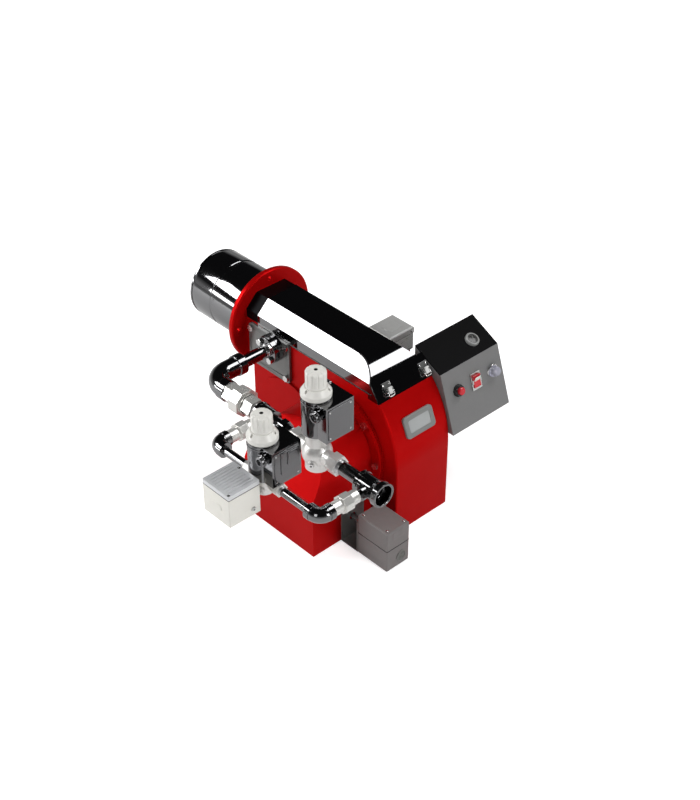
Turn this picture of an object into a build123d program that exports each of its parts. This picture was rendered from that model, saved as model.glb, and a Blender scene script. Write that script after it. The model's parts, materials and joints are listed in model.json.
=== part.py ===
"""Forced-draught gas burner with a two-valve gas line.

Frame: X across the burner, Y toward the boiler, Z up, in millimetres.
The origin is the centre of the boiler side of the mounting flange.
"""
import os
from math import acos, asin, atan2, cos, degrees, hypot, pi, radians, sin, sqrt

from build123d import *

os.makedirs("parts", exist_ok=True)

# ---------------------------------------------------------------- driving dimensions
AXIS_HEIGHT = 281.0        # burner axis above the base
DEPTH = 455.0              # flange mating face to the front of the housing
WALL = 6.0                 # cast wall
FIT = 0.05                 # radial clearance of a turning fit
GAP = 0.4                  # clearance between pieces that only pass each other

HOUSE_LEFT = -67.0         # sides of the scroll housing
HOUSE_RIGHT = 79.0
FRONT_ARC_R = 198.0        # crown of the front wall
FRONT_ARC_Z = -125.0       # height where the crown starts
SEAT_Z = 22.0              # seat of the top cover on the side walls
APRON_Z = 9.0              # seat of the cover's front apron
SCROLL_GAP = 28.0          # scroll back to the flange mating face
LOBE_R = 112.0             # rounding of the lower back of the scroll
NECK_START = -49.0         # front of the neck that carries the flange
NECK_LOW = -72.0

COVER_HALF = 67.0          # half width of the cover
COVER_TOP = 73.0
COVER_FLAT_HALF = 38.0     # half width of its flat top
COVER_SHOULDER = 45.0      # height where the side bevel starts
COVER_BEND_R = 80.0        # front bend
COVER_LEAN = 34.0          # lean of the front apron from upright, degrees
SHEET = 2.5

FLANGE_R = 105.0
FLANGE_T = 12.0
FLANGE_BEVEL = 2.5
STUD_PCD = 176.0
STUD_HOLE_R = 5.5
STUDS = 4
TUBE_R = 76.0
TUBE_LEN = 164.0
TUBE_NECK_R = 63.0
TUBE_T = 3.0
BAND_Y = 95.0              # groove round the flame tube
BAND_W = 4.0
BAND_DEPTH = 1.4
NECK_BORE_R = 58.0
FLANGE_SCREW_R = 73.0      # circle of the screws that hold the flange

SCREW_R = 4.0              # M8 hexagon screws
SCREW_AF = 13.0
SCREW_HEAD = 5.5

FAN_Y = -294.0
FAN_Z = -130.0
FAN_R = 98.0
FAN_EYE_R = 56.0
FAN_BLADES = 26
FAN_LEFT = -47.0
FAN_RIGHT = 26.0
RING_R = 123.0             # flange of the intake box
RING_T = 6.0
PAD_T = 4.0
RING_SCREWS = 8
INLET_R = 62.0
INLET_T = 4.0

MOTOR_R = 60.0
MOTOR_FLANGE_R = 63.0
MOTOR_SPIGOT_R = 52.0
MOTOR_LEN = 150.0
MOTOR_COWL = 34.0
MOTOR_FINS = 28
SHAFT_R = 9.5

BOX_OUT = -232.0           # outer side of the intake box
BOX_R = 101.0              # rounded top of the intake box
BOX_BREAK_Z = -146.0       # height where its outer side starts to lean in
BOX_LEAN_DX = 30.7
BOX_LEAN_DZ = 56.1
BOX_WALL = 4.0
GRILLE_SLOTS = 5

SPINDLE_X = -129.0
SPINDLE_Z = -233.0
SPINDLE_R = 5.0
BLADE_HALF = 38.0
BLADE_T = 2.0

SERVO_W = 60.0
SERVO_BACK = -443.0
SERVO_FRONT = -525.0
SERVO_TOP = -185.0
SERVO_LIFT = 2.0
BRACKET_T = 3.0

LINE_X = -238.0            # main gas line
BYPASS_X = -360.0          # second valve's line
LINE_R = 13.45             # 3/4 inch pipe
LINE_BORE = 10.8
BYPASS_R = 8.6             # 3/8 inch pipe
BYPASS_BORE = 6.3
SOCKET = 14.0              # pipe engagement in a fitting
FITTING_T = 4.5
ELBOW_T = 7.5              # wall of the heavier elbows and tees
INLET_PIPE_Y = -106.0
PLATE_T = 6.0
GAS_FLANGE_R = 30.0
GAS_FLANGE_T = 12.0
GAS_BOLT_PCD = 43.0
INLET_FACE_Y = -594.0
INLET_COLLAR_R = 24.5
INLET_THREAD_R = 19.5
INLET_THREAD_LEN = 20.0

VALVE1_Y = -417.5
VALVE1_HALF = 62.0
VALVE2_Y = -411.0
VALVE2_HALF = 48.0
VALVE1_BALL = 29.0
VALVE2_BALL = 22.0
COIL_R = 28.0
COIL_H = 78.0
CAP_R = 20.0
CAP_H = 34.0
COLLAR_R = 29.0
COLLAR_H = 22.0
CORE_R = 10.0

TEE_A_Y = -275.0
TEE_B_Y = -559.0
UNION_Y = -166.0

LANCE_R = 20.0
LANCE_T = 3.5
HEAD_Y = 118.0
HEAD_R = 26.0
DISC_R = 60.0
ELECTRODE_X = 32.0

PANEL_X0 = HOUSE_RIGHT
PANEL_W = 164.0
PANEL_FOOT = (-466.0, -106.0)     # Y, Z corners of the desk-shaped box
PANEL_KNEE = (-424.0, 19.0)
PANEL_BACK = (-353.0, 55.0)
PANEL_SHEET = 2.5
ROW_S = 84.0               # controls up the lower slope
BUTTON_X, ROCKER_X, LAMP_X = 115.0, 165.0, 214.0
GAUGE_X = 197.0
GAUGE_S = 32.0
BUTTON_R = 8.0
BUTTON_TRAVEL = 3.0

SIGHT_X = 6.0
SIGHT_Z = -47.0
SIGHT_W = 78.0
SIGHT_H = 45.0
SIGHT_T = 6.0
PANE_W = 56.0
PANE_H = 26.0
PANE_T = 3.0

LATCH_XS = (-33.0, 66.0)
LATCH_W = 22.0
LATCH_Z = 26.0
LATCH_T = 2.0
HOOK_LIFT = 6.5            # height of the hook's pin above its plate's back
HOOK_PIN_R = 1.5

# ---------------------------------------------------------------- derived values
BASE_Z = -AXIS_HEIGHT
FRONT_Y = -DEPTH
BACK_Y = -SCROLL_GAP
ARC_Y = FRONT_Y + FRONT_ARC_R
LOBE_Y = BACK_Y - LOBE_R
LOBE_Z = BASE_Z + LOBE_R
PAD_FACE = HOUSE_LEFT - PAD_T
RING_FACE = PAD_FACE - RING_T
SHAFT_END = HOUSE_RIGHT + MOTOR_LEN + 6.0
APRON_Y = ARC_Y - sqrt(FRONT_ARC_R ** 2 - (APRON_Z - FRONT_ARC_Z) ** 2)


# ---------------------------------------------------------------- helpers
def block(x0, x1, y0, y1, z0, z1):
    """A box between two corners."""
    mid = ((x0 + x1) / 2, (y0 + y1) / 2, (z0 + z1) / 2)
    return Pos(*mid) * Box(abs(x1 - x0), abs(y1 - y0), abs(z1 - z0))


TURN = {"+Z": Rot(0, 0, 0), "-Z": Rot(180, 0, 0), "+X": Rot(0, 90, 0),
        "-X": Rot(0, -90, 0), "+Y": Rot(-90, 0, 0), "-Y": Rot(90, 0, 0)}


def spot(axis, u, v, along):
    """A point from its two cross coordinates and its place along an axis."""
    return {"X": (along, u, v), "Y": (u, along, v), "Z": (u, v, along)}[axis]


def bar(axis, u, v, r, a, b):
    """A round bar along an axis, from a to b."""
    return Pos(*spot(axis, u, v, (a + b) / 2)) * TURN["+" + axis] * Cylinder(r, abs(b - a))


def tube(axis, u, v, r, bore, a, b):
    """A pipe along an axis."""
    return bar(axis, u, v, r, a, b) - bar(axis, u, v, bore, a - 1, b + 1)


def prism(axis, u, v, across, sides, a, b, spin=0.0):
    """A regular bar with the given size across its flats."""
    sketch = RegularPolygon(across / 2, sides, major_radius=False, rotation=spin)
    solid = extrude(sketch, amount=abs(b - a))
    return Pos(*spot(axis, u, v, min(a, b))) * TURN["+" + axis] * solid


def turned(direction, at, outline):
    """Revolve (radius, along) points about a line through a point."""
    face = make_face(Polyline(*outline, close=True))
    return Pos(*at) * TURN[direction] * revolve(Plane.XZ * face, Axis.Z)


def slab_x(points, x0, x1):
    """A (Y, Z) outline pulled along X."""
    face = make_face(Polyline(*points, close=True))
    return extrude(Plane.YZ.offset(x0) * face, amount=x1 - x0)


def slab_y(points, y0, y1):
    """An (X, Z) outline pulled along Y."""
    face = make_face(Polyline(*points, close=True))
    return extrude(Plane.XZ.offset(-y0) * face, amount=-(y1 - y0))


def slab_z(points, z0, z1):
    """An (X, Y) outline pulled along Z."""
    face = make_face(Polyline(*points, close=True))
    return extrude(Plane.XY.offset(z0) * face, amount=z1 - z0)


def screw(direction, at, length):
    """A hexagon screw: head outside the point, shank into the part."""
    head = extrude(RegularPolygon(SCREW_AF / 2, 6, major_radius=False), amount=SCREW_HEAD)
    shank = Pos(0, 0, -length / 2) * Cylinder(SCREW_R, length)
    return Pos(*at) * TURN[direction] * (head + shank)


def around(count, r, start=0.0):
    """Points spread evenly round a circle."""
    return [(r * cos(radians(start + i * 360 / count)), r * sin(radians(start + i * 360 / count)))
            for i in range(count)]


def together(shapes):
    """One node made of several separate solids."""
    return Compound(children=[s for shape in shapes for s in shape.solids()])


def save(name, shape):
    """Write one node."""
    export_step(shape, "parts/" + name + ".step")
    print(name, len(shape.solids()), "solid(s)", round(shape.volume / 1000.0, 2), "cm3")


def bend(corner_x, corner_y, radius, r, start):
    """A quarter ring in the gas line's plane; start is its first angle."""
    a = radians(start)
    cx, cy = corner_x + radius, corner_y + (radius if start == 180 else -radius)
    plane = Plane(origin=(cx, cy, 0), x_dir=(cos(a), sin(a), 0), z_dir=(-sin(a), cos(a), 0))
    return revolve(plane * Pos(radius, 0) * Circle(r), Axis((cx, cy, 0), (0, 0, 1)), 90)


# ---------------------------------------------------------------- shared outlines
def scroll_face(inset, top):
    """Side outline of the scroll housing, moved in by a wall."""
    arc_r, lobe_r = FRONT_ARC_R - inset, LOBE_R - inset
    front, low, back = FRONT_Y + inset, BASE_Z + inset, BACK_Y - inset
    reach = top - FRONT_ARC_Z
    crown = (ARC_Y - sqrt(arc_r ** 2 - reach ** 2), top)
    half = asin(reach / arc_r) / 2
    mid = (ARC_Y - arc_r * cos(half), FRONT_ARC_Z + arc_r * sin(half))
    lobe_mid = (LOBE_Y + lobe_r * sqrt(0.5), LOBE_Z - lobe_r * sqrt(0.5))
    return make_face([
        Line((front, low), (front, FRONT_ARC_Z)),
        ThreePointArc((front, FRONT_ARC_Z), mid, crown),
        Line(crown, (back, top)), Line((back, top), (back, LOBE_Z)),
        ThreePointArc((back, LOBE_Z), lobe_mid, (LOBE_Y, low)),
        Line((LOBE_Y, low), (front, low))])


def cover_side(inset):
    """Side outline of the top cover: flat top, front bend, leaning apron."""
    lean = radians(COVER_LEAN)
    r = COVER_BEND_R - inset
    rise = COVER_BEND_R * sin(lean)
    centre_z = COVER_TOP - COVER_BEND_R
    run = (centre_z + rise - APRON_Z) * sin(lean) / cos(lean)
    centre_y = APRON_Y + run + COVER_BEND_R * cos(lean)
    start = (centre_y, centre_z + r)
    end = (centre_y - r * cos(lean), centre_z + r * sin(lean))
    mid_a = radians(90 + (90 - COVER_LEAN) / 2)
    mid = (centre_y + r * cos(mid_a), centre_z + r * sin(mid_a))
    foot = (end[0] - (end[1] - APRON_Z) * sin(lean) / cos(lean), APRON_Z)
    inner = (foot[0] + 30.0, APRON_Z)
    seat = (foot[0] + 30.0, SEAT_Z)
    tail = (NECK_START - GAP, SEAT_Z)
    top = (NECK_START - GAP, COVER_TOP - inset)
    return make_face([Line(top, start), ThreePointArc(start, mid, end), Line(end, foot),
                      Line(foot, inner), Line(inner, seat), Line(seat, tail), Line(tail, top)])


def cover_section(inset, low):
    """Cross outline of the top cover."""
    half, top = COVER_HALF - inset, COVER_TOP - inset
    flat = COVER_FLAT_HALF - inset * 0.4
    shoulder = COVER_SHOULDER - inset * 0.4
    return [(-half, low), (-half, shoulder), (-flat, top), (flat, top), (half, shoulder), (half, low)]


def cover_solid(inset, low):
    """The cover as a solid block, moved in by its sheet."""
    side = extrude(Plane.YZ.offset(-COVER_HALF) * cover_side(inset), amount=2 * COVER_HALF)
    cross = slab_y(cover_section(inset, low), FRONT_Y, NECK_START + 1)
    return side & cross


def apron_wing(inset, low):
    """The strip of the apron that runs on to the control box."""
    side = extrude(Plane.YZ.offset(COVER_HALF - SHEET) * cover_side(inset),
                   amount=HOUSE_RIGHT - COVER_HALF + SHEET - GAP)
    keep = block(COVER_HALF - SHEET, HOUSE_RIGHT - GAP, FRONT_Y, NECK_START, low, COVER_SHOULDER + 8)
    rear = block(COVER_HALF - SHEET - 1, HOUSE_RIGHT + 1, APRON_Y + 30, 0, low - 1, COVER_TOP)
    return (side & keep) - rear


# ---------------------------------------------------------------- housing
def ring_points(inset=10.0):
    """Screw places on the upper half of the intake flange."""
    return [(FAN_Y + a, FAN_Z + b) for a, b in around(RING_SCREWS, RING_R - inset) if b > -1]


PLATE_SCREWS = [(INLET_PIPE_Y + dy, z) for dy, z in ((-36, -60.0), (-36, 14.5), (70, -60.0), (70, 12.0))]
FLANGE_SCREWS = around(4, FLANGE_SCREW_R, 45.0)


def scroll_shell():
    """Scroll walls with the open channel under the cover."""
    outer = extrude(Plane.YZ.offset(HOUSE_LEFT) * scroll_face(0, SEAT_Z + 20),
                    amount=HOUSE_RIGHT - HOUSE_LEFT)
    rims = outer.faces().filter_by(Axis.X).sort_by(Axis.X)
    outer = fillet(rims[0].edges() + rims[-1].edges(), 4.0)
    inner = extrude(Plane.YZ.offset(HOUSE_LEFT + WALL) * scroll_face(WALL, SEAT_Z + 21),
                    amount=HOUSE_RIGHT - HOUSE_LEFT - 2 * WALL)
    shell = outer - inner
    ledge = block(COVER_HALF - WALL, HOUSE_RIGHT - WALL, APRON_Y + 30, BACK_Y - WALL,
                  SEAT_Z - WALL, SEAT_Z)
    shell += ledge
    above = block(HOUSE_LEFT - 1, HOUSE_RIGHT + 1, APRON_Y + 30, 5, SEAT_Z, COVER_TOP)
    front = block(HOUSE_LEFT - 1, HOUSE_RIGHT + 1, FRONT_Y - 1, APRON_Y + 30, APRON_Z, COVER_TOP)
    return shell - above - front


def neck():
    """The short neck between the channel and the flange."""
    outline = cover_section(1.0, NECK_LOW)
    body = slab_y(outline, NECK_START, -FLANGE_T)
    return body


def side_pad():
    """Raised pad on the left side under the intake flange."""
    lobe = bar("X", LOBE_Y, LOBE_Z, LOBE_R - 16, PAD_FACE, HOUSE_LEFT)
    disc = bar("X", FAN_Y, FAN_Z, RING_R + 2, PAD_FACE, HOUSE_LEFT)
    return lobe + disc


def switch_boss():
    """Ledge on the right side that carries the air switch."""
    return block(HOUSE_RIGHT - 1, 160, -262, -210, -48, -34)


def sight_plane(lift=0.0):
    """Plane of the sight glass on the crown of the front wall."""
    a = asin((SIGHT_Z - FRONT_ARC_Z) / FRONT_ARC_R)
    out = (0, -cos(a), sin(a))
    r = FRONT_ARC_R - 1.5 + lift
    return Plane(origin=(SIGHT_X, ARC_Y - r * cos(a), FRONT_ARC_Z + r * sin(a)),
                 x_dir=(1, 0, 0), z_dir=out)


def scroll_housing():
    body = scroll_shell() + neck() + side_pad() + switch_boss()
    body -= bar("Y", 0, 0, NECK_BORE_R, -90, 0)
    body -= bar("X", FAN_Y, FAN_Z, INLET_R, PAD_FACE - 1, HOUSE_LEFT + WALL + 1)
    body -= bar("X", FAN_Y, FAN_Z, MOTOR_SPIGOT_R, HOUSE_RIGHT - WALL - 1, HOUSE_RIGHT + 1)
    body -= bar("X", INLET_PIPE_Y, 0, LANCE_R, HOUSE_LEFT - 1, HOUSE_LEFT + WALL + 1)
    body -= sight_plane() * Pos(0, 0, SIGHT_T) * Box(SIGHT_W, SIGHT_H, 2 * SIGHT_T)
    body -= sight_plane() * Box(PANE_W - 6, PANE_H - 6, 4 * WALL)
    for x, z in FLANGE_SCREWS:
        body -= bar("Y", x, z, SCREW_R, NECK_START + 12, 0)
    for y, z in ring_points():
        body -= bar("X", y, z, SCREW_R, PAD_FACE - 1, HOUSE_LEFT + WALL - 1)
    for y, z in PLATE_SCREWS:
        body -= bar("X", y, z, SCREW_R, HOUSE_LEFT - 1, HOUSE_LEFT + WALL - 1)
    return body


# ---------------------------------------------------------------- air intake
def arch(r, low, x0, x1, foot=0.0):
    """A block with a round top, concentric with the fan."""
    top = bar("X", FAN_Y, FAN_Z, r, x0, x1)
    return top + block(x0, x1, FAN_Y - r, FAN_Y + r, low, FAN_Z)


def lean_cut(shift):
    """Everything outside the leaning upper part of the intake's outer side."""
    run = BOX_LEAN_DX / BOX_LEAN_DZ
    rise = FAN_Z + BOX_R + 10 - BOX_BREAK_Z
    points = [(BOX_OUT + shift, BOX_BREAK_Z), (BOX_OUT + shift + run * rise, BOX_BREAK_Z + rise),
              (BOX_OUT - 20, BOX_BREAK_Z + rise), (BOX_OUT - 20, BOX_BREAK_Z)]
    return slab_y(points, FAN_Y - BOX_R - 5, FAN_Y + BOX_R + 5)


def intake_box():
    outer = arch(BOX_R, BASE_Z, BOX_OUT, RING_FACE) - lean_cut(0)
    inner = arch(BOX_R - BOX_WALL, BASE_Z + BOX_WALL, BOX_OUT + BOX_WALL, RING_FACE + 1)
    inner -= lean_cut(BOX_WALL * 1.15)
    rib = block(SPINDLE_X - BLADE_T, SPINDLE_X + BLADE_T, FAN_Y - BOX_R + 1, FAN_Y + BOX_R - 1,
                SPINDLE_Z + BLADE_HALF + 3, FAN_Z + 40)
    inner -= rib
    body = outer - inner
    body += bar("X", FAN_Y, FAN_Z, RING_R, RING_FACE, PAD_FACE)
    body -= bar("X", FAN_Y, FAN_Z, INLET_R + 10, RING_FACE - 1, PAD_FACE + 1)
    body += bar("Y", SPINDLE_X, SPINDLE_Z, SPINDLE_R + 5, FAN_Y - BOX_R, FAN_Y - BOX_R + 10)
    body += bar("Y", SPINDLE_X, SPINDLE_Z, SPINDLE_R + 5, FAN_Y + BOX_R - 10, FAN_Y + BOX_R)
    body -= bar("Y", SPINDLE_X, SPINDLE_Z, SPINDLE_R + FIT, FAN_Y - BOX_R - 1, FAN_Y + BOX_R - 3)
    for i in range(GRILLE_SLOTS):
        x = BOX_OUT + 14 + i * 17.0
        body -= block(x, x + 11, FAN_Y + BOX_R - 6, FAN_Y + BOX_R + 1, BASE_Z + 20, BASE_Z + 128)
    for y, z in ring_points():
        body -= bar("X", y, z, SCREW_R, RING_FACE - 1, PAD_FACE + 1)
    return body - block(BOX_OUT - 1, HOUSE_LEFT, FAN_Y - 200, FAN_Y + 200, BASE_Z - 50, BASE_Z)


def fan_inlet_ring():
    return turned("+X", (RING_FACE, FAN_Y, FAN_Z), [
        (FAN_EYE_R, RING_T + PAD_T + WALL + 4), (FAN_EYE_R, 8), (FAN_EYE_R + 3, 3),
        (FAN_EYE_R + 7, 0), (INLET_R + 9.5, 0), (INLET_R + 9.5, RING_T), (INLET_R, RING_T),
        (INLET_R, RING_T + PAD_T + WALL), (FAN_EYE_R + 2, RING_T + PAD_T + WALL + 4)])


def fan_impeller():
    back = bar("X", FAN_Y, FAN_Z, FAN_R, FAN_RIGHT - 3, FAN_RIGHT)
    hub = bar("X", FAN_Y, FAN_Z, 18, FAN_RIGHT - 38, FAN_RIGHT)
    front = tube("X", FAN_Y, FAN_Z, FAN_R, FAN_R - 22, FAN_LEFT, FAN_LEFT + 3)
    wheel = back + hub
    blade = Box(FAN_RIGHT - FAN_LEFT, 24, 2.2)
    blades = []
    for i in range(FAN_BLADES):
        a = i * 360 / FAN_BLADES
        place = (Pos((FAN_LEFT + FAN_RIGHT) / 2, FAN_Y, FAN_Z) * Rot(a, 0, 0)
                 * Pos(0, FAN_R - 12.5, 0) * Rot(28, 0, 0))
        blades.append(place * blade)
    wheel = wheel + blades + front
    rim = bar("X", FAN_Y, FAN_Z, FAN_R, FAN_LEFT, FAN_RIGHT)
    return (wheel & rim) - bar("X", FAN_Y, FAN_Z, SHAFT_R, FAN_LEFT - 1, FAN_RIGHT + 1)


# ---------------------------------------------------------------- motor
def motor_frame():
    x0, x1 = HOUSE_RIGHT, HOUSE_RIGHT + MOTOR_LEN
    body = bar("X", FAN_Y, FAN_Z, MOTOR_R - 6, x0, x1)
    body += bar("X", FAN_Y, FAN_Z, MOTOR_FLANGE_R, x0, x0 + 8)
    body += bar("X", FAN_Y, FAN_Z, MOTOR_SPIGOT_R, x0 - 5, x0 + 1)
    body += bar("X", FAN_Y, FAN_Z, MOTOR_R, x1 - 8, x1)
    fins = []
    for i in range(MOTOR_FINS):
        fins.append(Pos((x0 + x1) / 2, FAN_Y, FAN_Z) * Rot(i * 360 / MOTOR_FINS, 0, 0)
                    * Pos(0, MOTOR_R - 5, 0) * Box(MOTOR_LEN - 2, 10, 2.4))
    body = body + fins
    return body - bar("X", FAN_Y, FAN_Z, SHAFT_R + FIT, x0 - 10, x1 + 5)


def motor_cowl():
    x1 = HOUSE_RIGHT + MOTOR_LEN
    cowl = turned("+X", (x1, FAN_Y, FAN_Z), [
        (MOTOR_R - 2.5, 0), (MOTOR_R, 0), (MOTOR_R, MOTOR_COWL - 10), (MOTOR_R - 8, MOTOR_COWL),
        (0, MOTOR_COWL), (0, MOTOR_COWL - 2.5), (MOTOR_R - 9, MOTOR_COWL - 2.5),
        (MOTOR_R - 2.5, MOTOR_COWL - 11)])
    for u, v in around(12, 40.0) + around(8, 24.0):
        cowl -= bar("X", FAN_Y + u, FAN_Z + v, 4.5, x1 + MOTOR_COWL - 5, x1 + MOTOR_COWL + 1)
    return cowl


def motor_shaft():
    return bar("X", FAN_Y, FAN_Z, SHAFT_R, FAN_RIGHT - 40, SHAFT_END)


# ---------------------------------------------------------------- damper and its drive
def damper_spindle():
    return bar("Y", SPINDLE_X, SPINDLE_Z, SPINDLE_R, SERVO_BACK - 20, FAN_Y + BOX_R - 3.5)


def damper_blade():
    y0, y1 = FAN_Y - BOX_R + 11, FAN_Y + BOX_R - 11
    plate = block(SPINDLE_X - BLADE_T / 2, SPINDLE_X + BLADE_T / 2, y0, y1,
                  SPINDLE_Z - BLADE_HALF, SPINDLE_Z + BLADE_HALF)
    hub = bar("Y", SPINDLE_X, SPINDLE_Z, SPINDLE_R + 3, y0, y1)
    return plate + hub - bar("Y", SPINDLE_X, SPINDLE_Z, SPINDLE_R, y0 - 1, y1 + 1)


def servo_bracket():
    x0, x1 = SPINDLE_X - SERVO_W / 2, SPINDLE_X + SERVO_W / 2
    wall_y, front = FAN_Y - BOX_R, SERVO_BACK
    body = block(x0, x1, wall_y - BRACKET_T, wall_y, BASE_Z, SERVO_TOP)
    body += block(x0, x1, front, wall_y, BASE_Z, BASE_Z + BRACKET_T)
    body += block(x0, x1, front, front + BRACKET_T, BASE_Z, SERVO_TOP - 20)
    body -= bar("Y", SPINDLE_X, SPINDLE_Z, SPINDLE_R + 3, front - 1, wall_y + 1)
    return body


def servo_base():
    x0, x1 = SPINDLE_X - SERVO_W / 2, SPINDLE_X + SERVO_W / 2
    body = block(x0, x1, SERVO_FRONT, SERVO_BACK, BASE_Z + SERVO_LIFT, SPINDLE_Z + 4)
    body = fillet(body.edges().filter_by(Axis.Z), 3.0)
    body -= bar("Y", SPINDLE_X, SPINDLE_Z, SPINDLE_R + FIT, SERVO_BACK - 21, SERVO_BACK + 1)
    return body - bar("Y", SPINDLE_X + 8, SPINDLE_Z - 24, 9, SERVO_FRONT - 1, SERVO_FRONT + 1)


def servo_cover():
    x0, x1 = SPINDLE_X - SERVO_W / 2, SPINDLE_X + SERVO_W / 2
    body = block(x0, x1, SERVO_FRONT, SERVO_BACK, SPINDLE_Z + 4, SERVO_TOP)
    body = fillet(body.edges().filter_by(Axis.Z), 3.0)
    body = chamfer(body.faces().sort_by(Axis.Z)[-1].edges(), 2.4)
    return body - bar("Y", SPINDLE_X, SPINDLE_Z, SPINDLE_R + FIT, SERVO_BACK - 21, SERVO_BACK + 1)


# ---------------------------------------------------------------- top cover and latches
def top_cover():
    outer = cover_solid(0, APRON_Z) + apron_wing(0, APRON_Z)
    inner = cover_solid(SHEET, APRON_Z - 1)
    below = slab_y([(-COVER_HALF + SHEET, -5), (-COVER_HALF + SHEET, SEAT_Z + 3),
                    (COVER_HALF - SHEET, SEAT_Z + 3), (COVER_HALF - SHEET, -5)],
                   APRON_Y + 20, NECK_START + 2)
    wing = apron_wing(SHEET, APRON_Z - 1) & block(COVER_HALF - SHEET, HOUSE_RIGHT - SHEET,
                                                  FRONT_Y, 0, 0, COVER_SHOULDER + 5.5)
    return outer - inner - below - wing


def apron_plane(x, z):
    """Plane on the cover's leaning apron at a height."""
    lean = radians(COVER_LEAN)
    y = APRON_Y + (z - APRON_Z) * sin(lean) / cos(lean)
    return Plane(origin=(x, y, z), x_dir=(1, 0, 0), z_dir=(0, -cos(lean), sin(lean)))


def latch_plate(x):
    base = extrude(make_face(Polyline((-LATCH_W / 2, 13), (LATCH_W / 2, 13), (LATCH_W / 2 - 4, -8),
                                      (-LATCH_W / 2 + 4, -8), close=True)), amount=LATCH_T)
    ears = [Pos(s * 6.2, -2, (LATCH_T + HOOK_LIFT + 2) / 2) * Box(2.4, 7, HOOK_LIFT + 2 - LATCH_T)
            for s in (-1, 1)]
    plate = base + ears
    plate -= Pos(0, -2, HOOK_LIFT) * Rot(0, 90, 0) * Cylinder(HOOK_PIN_R + FIT, 40)
    return apron_plane(x, LATCH_Z) * plate


def latch_hook(x):
    pin = Pos(0, -2, HOOK_LIFT) * Rot(0, 90, 0) * Cylinder(HOOK_PIN_R, 14.8)
    lever = Pos(0, -4.5, HOOK_LIFT + 0.2) * Box(9.2, 13, 3.2)
    lip = Pos(0, 1.0, HOOK_LIFT + 2.2) * Box(9.2, 3.0, 4.0)
    return apron_plane(x, LATCH_Z) * (pin + lever + lip)


# ---------------------------------------------------------------- sight glass
def sight_frame():
    frame = extrude(RectangleRounded(SIGHT_W, SIGHT_H, 8), amount=SIGHT_T)
    frame = chamfer(frame.faces().sort_by(Axis.Z)[-1].edges(), 1.5)
    frame -= Pos(0, 0, SIGHT_T / 2) * extrude(RectangleRounded(PANE_W, PANE_H, 4), amount=SIGHT_T)
    frame -= extrude(RectangleRounded(PANE_W - 6, PANE_H - 6, 3), amount=SIGHT_T)
    return sight_plane() * frame


def sight_pane():
    pane = extrude(RectangleRounded(PANE_W, PANE_H, 4), amount=PANE_T - 0.8)
    return sight_plane() * Pos(0, 0, SIGHT_T / 2) * pane


# ---------------------------------------------------------------- flange and flame tube
def boiler_flange():
    disc = turned("+Y", (0, 0, 0), [
        (TUBE_NECK_R, -FLANGE_T), (FLANGE_R - FLANGE_BEVEL, -FLANGE_T),
        (FLANGE_R, -FLANGE_T + FLANGE_BEVEL), (FLANGE_R, -1), (FLANGE_R - 1, 0), (TUBE_NECK_R, 0)])
    for x, z in around(STUDS, STUD_PCD / 2):
        disc -= bar("Y", x, z, STUD_HOLE_R, -FLANGE_T - 1, 1)
    for x, z in FLANGE_SCREWS:
        disc -= bar("Y", x, z, SCREW_R, -FLANGE_T - 1, 1)
        disc -= bar("Y", x, z, SCREW_AF / 2 + 1.5, -SCREW_HEAD - 0.5, 1)
    return disc


def flame_tube():
    r, t, neck_r = TUBE_R, TUBE_T, TUBE_NECK_R
    outline = [
        (neck_r, -FLANGE_T), (neck_r, 5), (neck_r + 5, 6.5), (r - 3.5, 11), (r - 0.9, 17), (r, 24),
        (r, BAND_Y - BAND_W), (r - BAND_DEPTH, BAND_Y - BAND_W + 1.4),
        (r - BAND_DEPTH, BAND_Y + BAND_W - 1.4), (r, BAND_Y + BAND_W),
        (r, TUBE_LEN - 12), (r - 0.9, TUBE_LEN - 6), (r - 3.0, TUBE_LEN - 2), (r - 6.5, TUBE_LEN),
        (r - 9, TUBE_LEN - 1.5), (r - 6, TUBE_LEN - 5), (r - t - 1, TUBE_LEN - 9),
        (r - t - 0.6, TUBE_LEN - 14), (r - t - 0.6, 25), (r - t - 2, 17), (r - t - 6, 12),
        (neck_r - t, 9), (neck_r - t, -FLANGE_T)]
    return turned("+Y", (0, 0, 0), outline)


# ---------------------------------------------------------------- combustion head
def gas_lance():
    r, bore = LANCE_R, LANCE_R - LANCE_T
    x0, y0 = HOUSE_LEFT, INLET_PIPE_Y
    outer = bar("X", y0, 0, r, x0, 0) + Pos(0, y0, 0) * Sphere(r)
    outer += bar("Y", 0, 0, r, y0, HEAD_Y - 20) + bar("Y", 0, 0, HEAD_R, HEAD_Y - 22, HEAD_Y)
    inner = bar("X", y0, 0, bore, x0 - 1, 0) + Pos(0, y0, 0) * Sphere(bore)
    inner += bar("Y", 0, 0, bore, y0, HEAD_Y - 6)
    body = outer - inner
    for i in range(6):
        body -= (Pos(0, HEAD_Y - 12, 0) * Rot(0, i * 60, 0) * Pos(HEAD_R - 4, 0, 0)
                 * Rot(0, 90, 0) * Cylinder(3.0, 16))
    return body


def diffuser_disc():
    disc = tube("Y", 0, 0, DISC_R, 9, HEAD_Y, HEAD_Y + 2)
    for i in range(12):
        disc -= (Pos(0, HEAD_Y + 1, 0) * Rot(0, 15 + i * 30, 0) * Pos(46, 0, 0)
                 * Box(20, 6, 3.4))
    for x in (-ELECTRODE_X, ELECTRODE_X):
        disc -= bar("Y", x, 0, 3.5, HEAD_Y - 1, HEAD_Y + 3)
    return disc


def electrode_clamp():
    plate = bar("Y", 0, 0, ELECTRODE_X + 10, 56, 61) - bar("Y", 0, 0, LANCE_R, 55, 62)
    plate &= block(-60, 60, 50, 70, -16, 16)
    for x in (-ELECTRODE_X, ELECTRODE_X):
        plate -= bar("Y", x, 0, 5, 55, 62)
    ring = tube("Y", 0, 0, LANCE_R + 4, LANCE_R, 56, 61)
    return plate + ring


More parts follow.
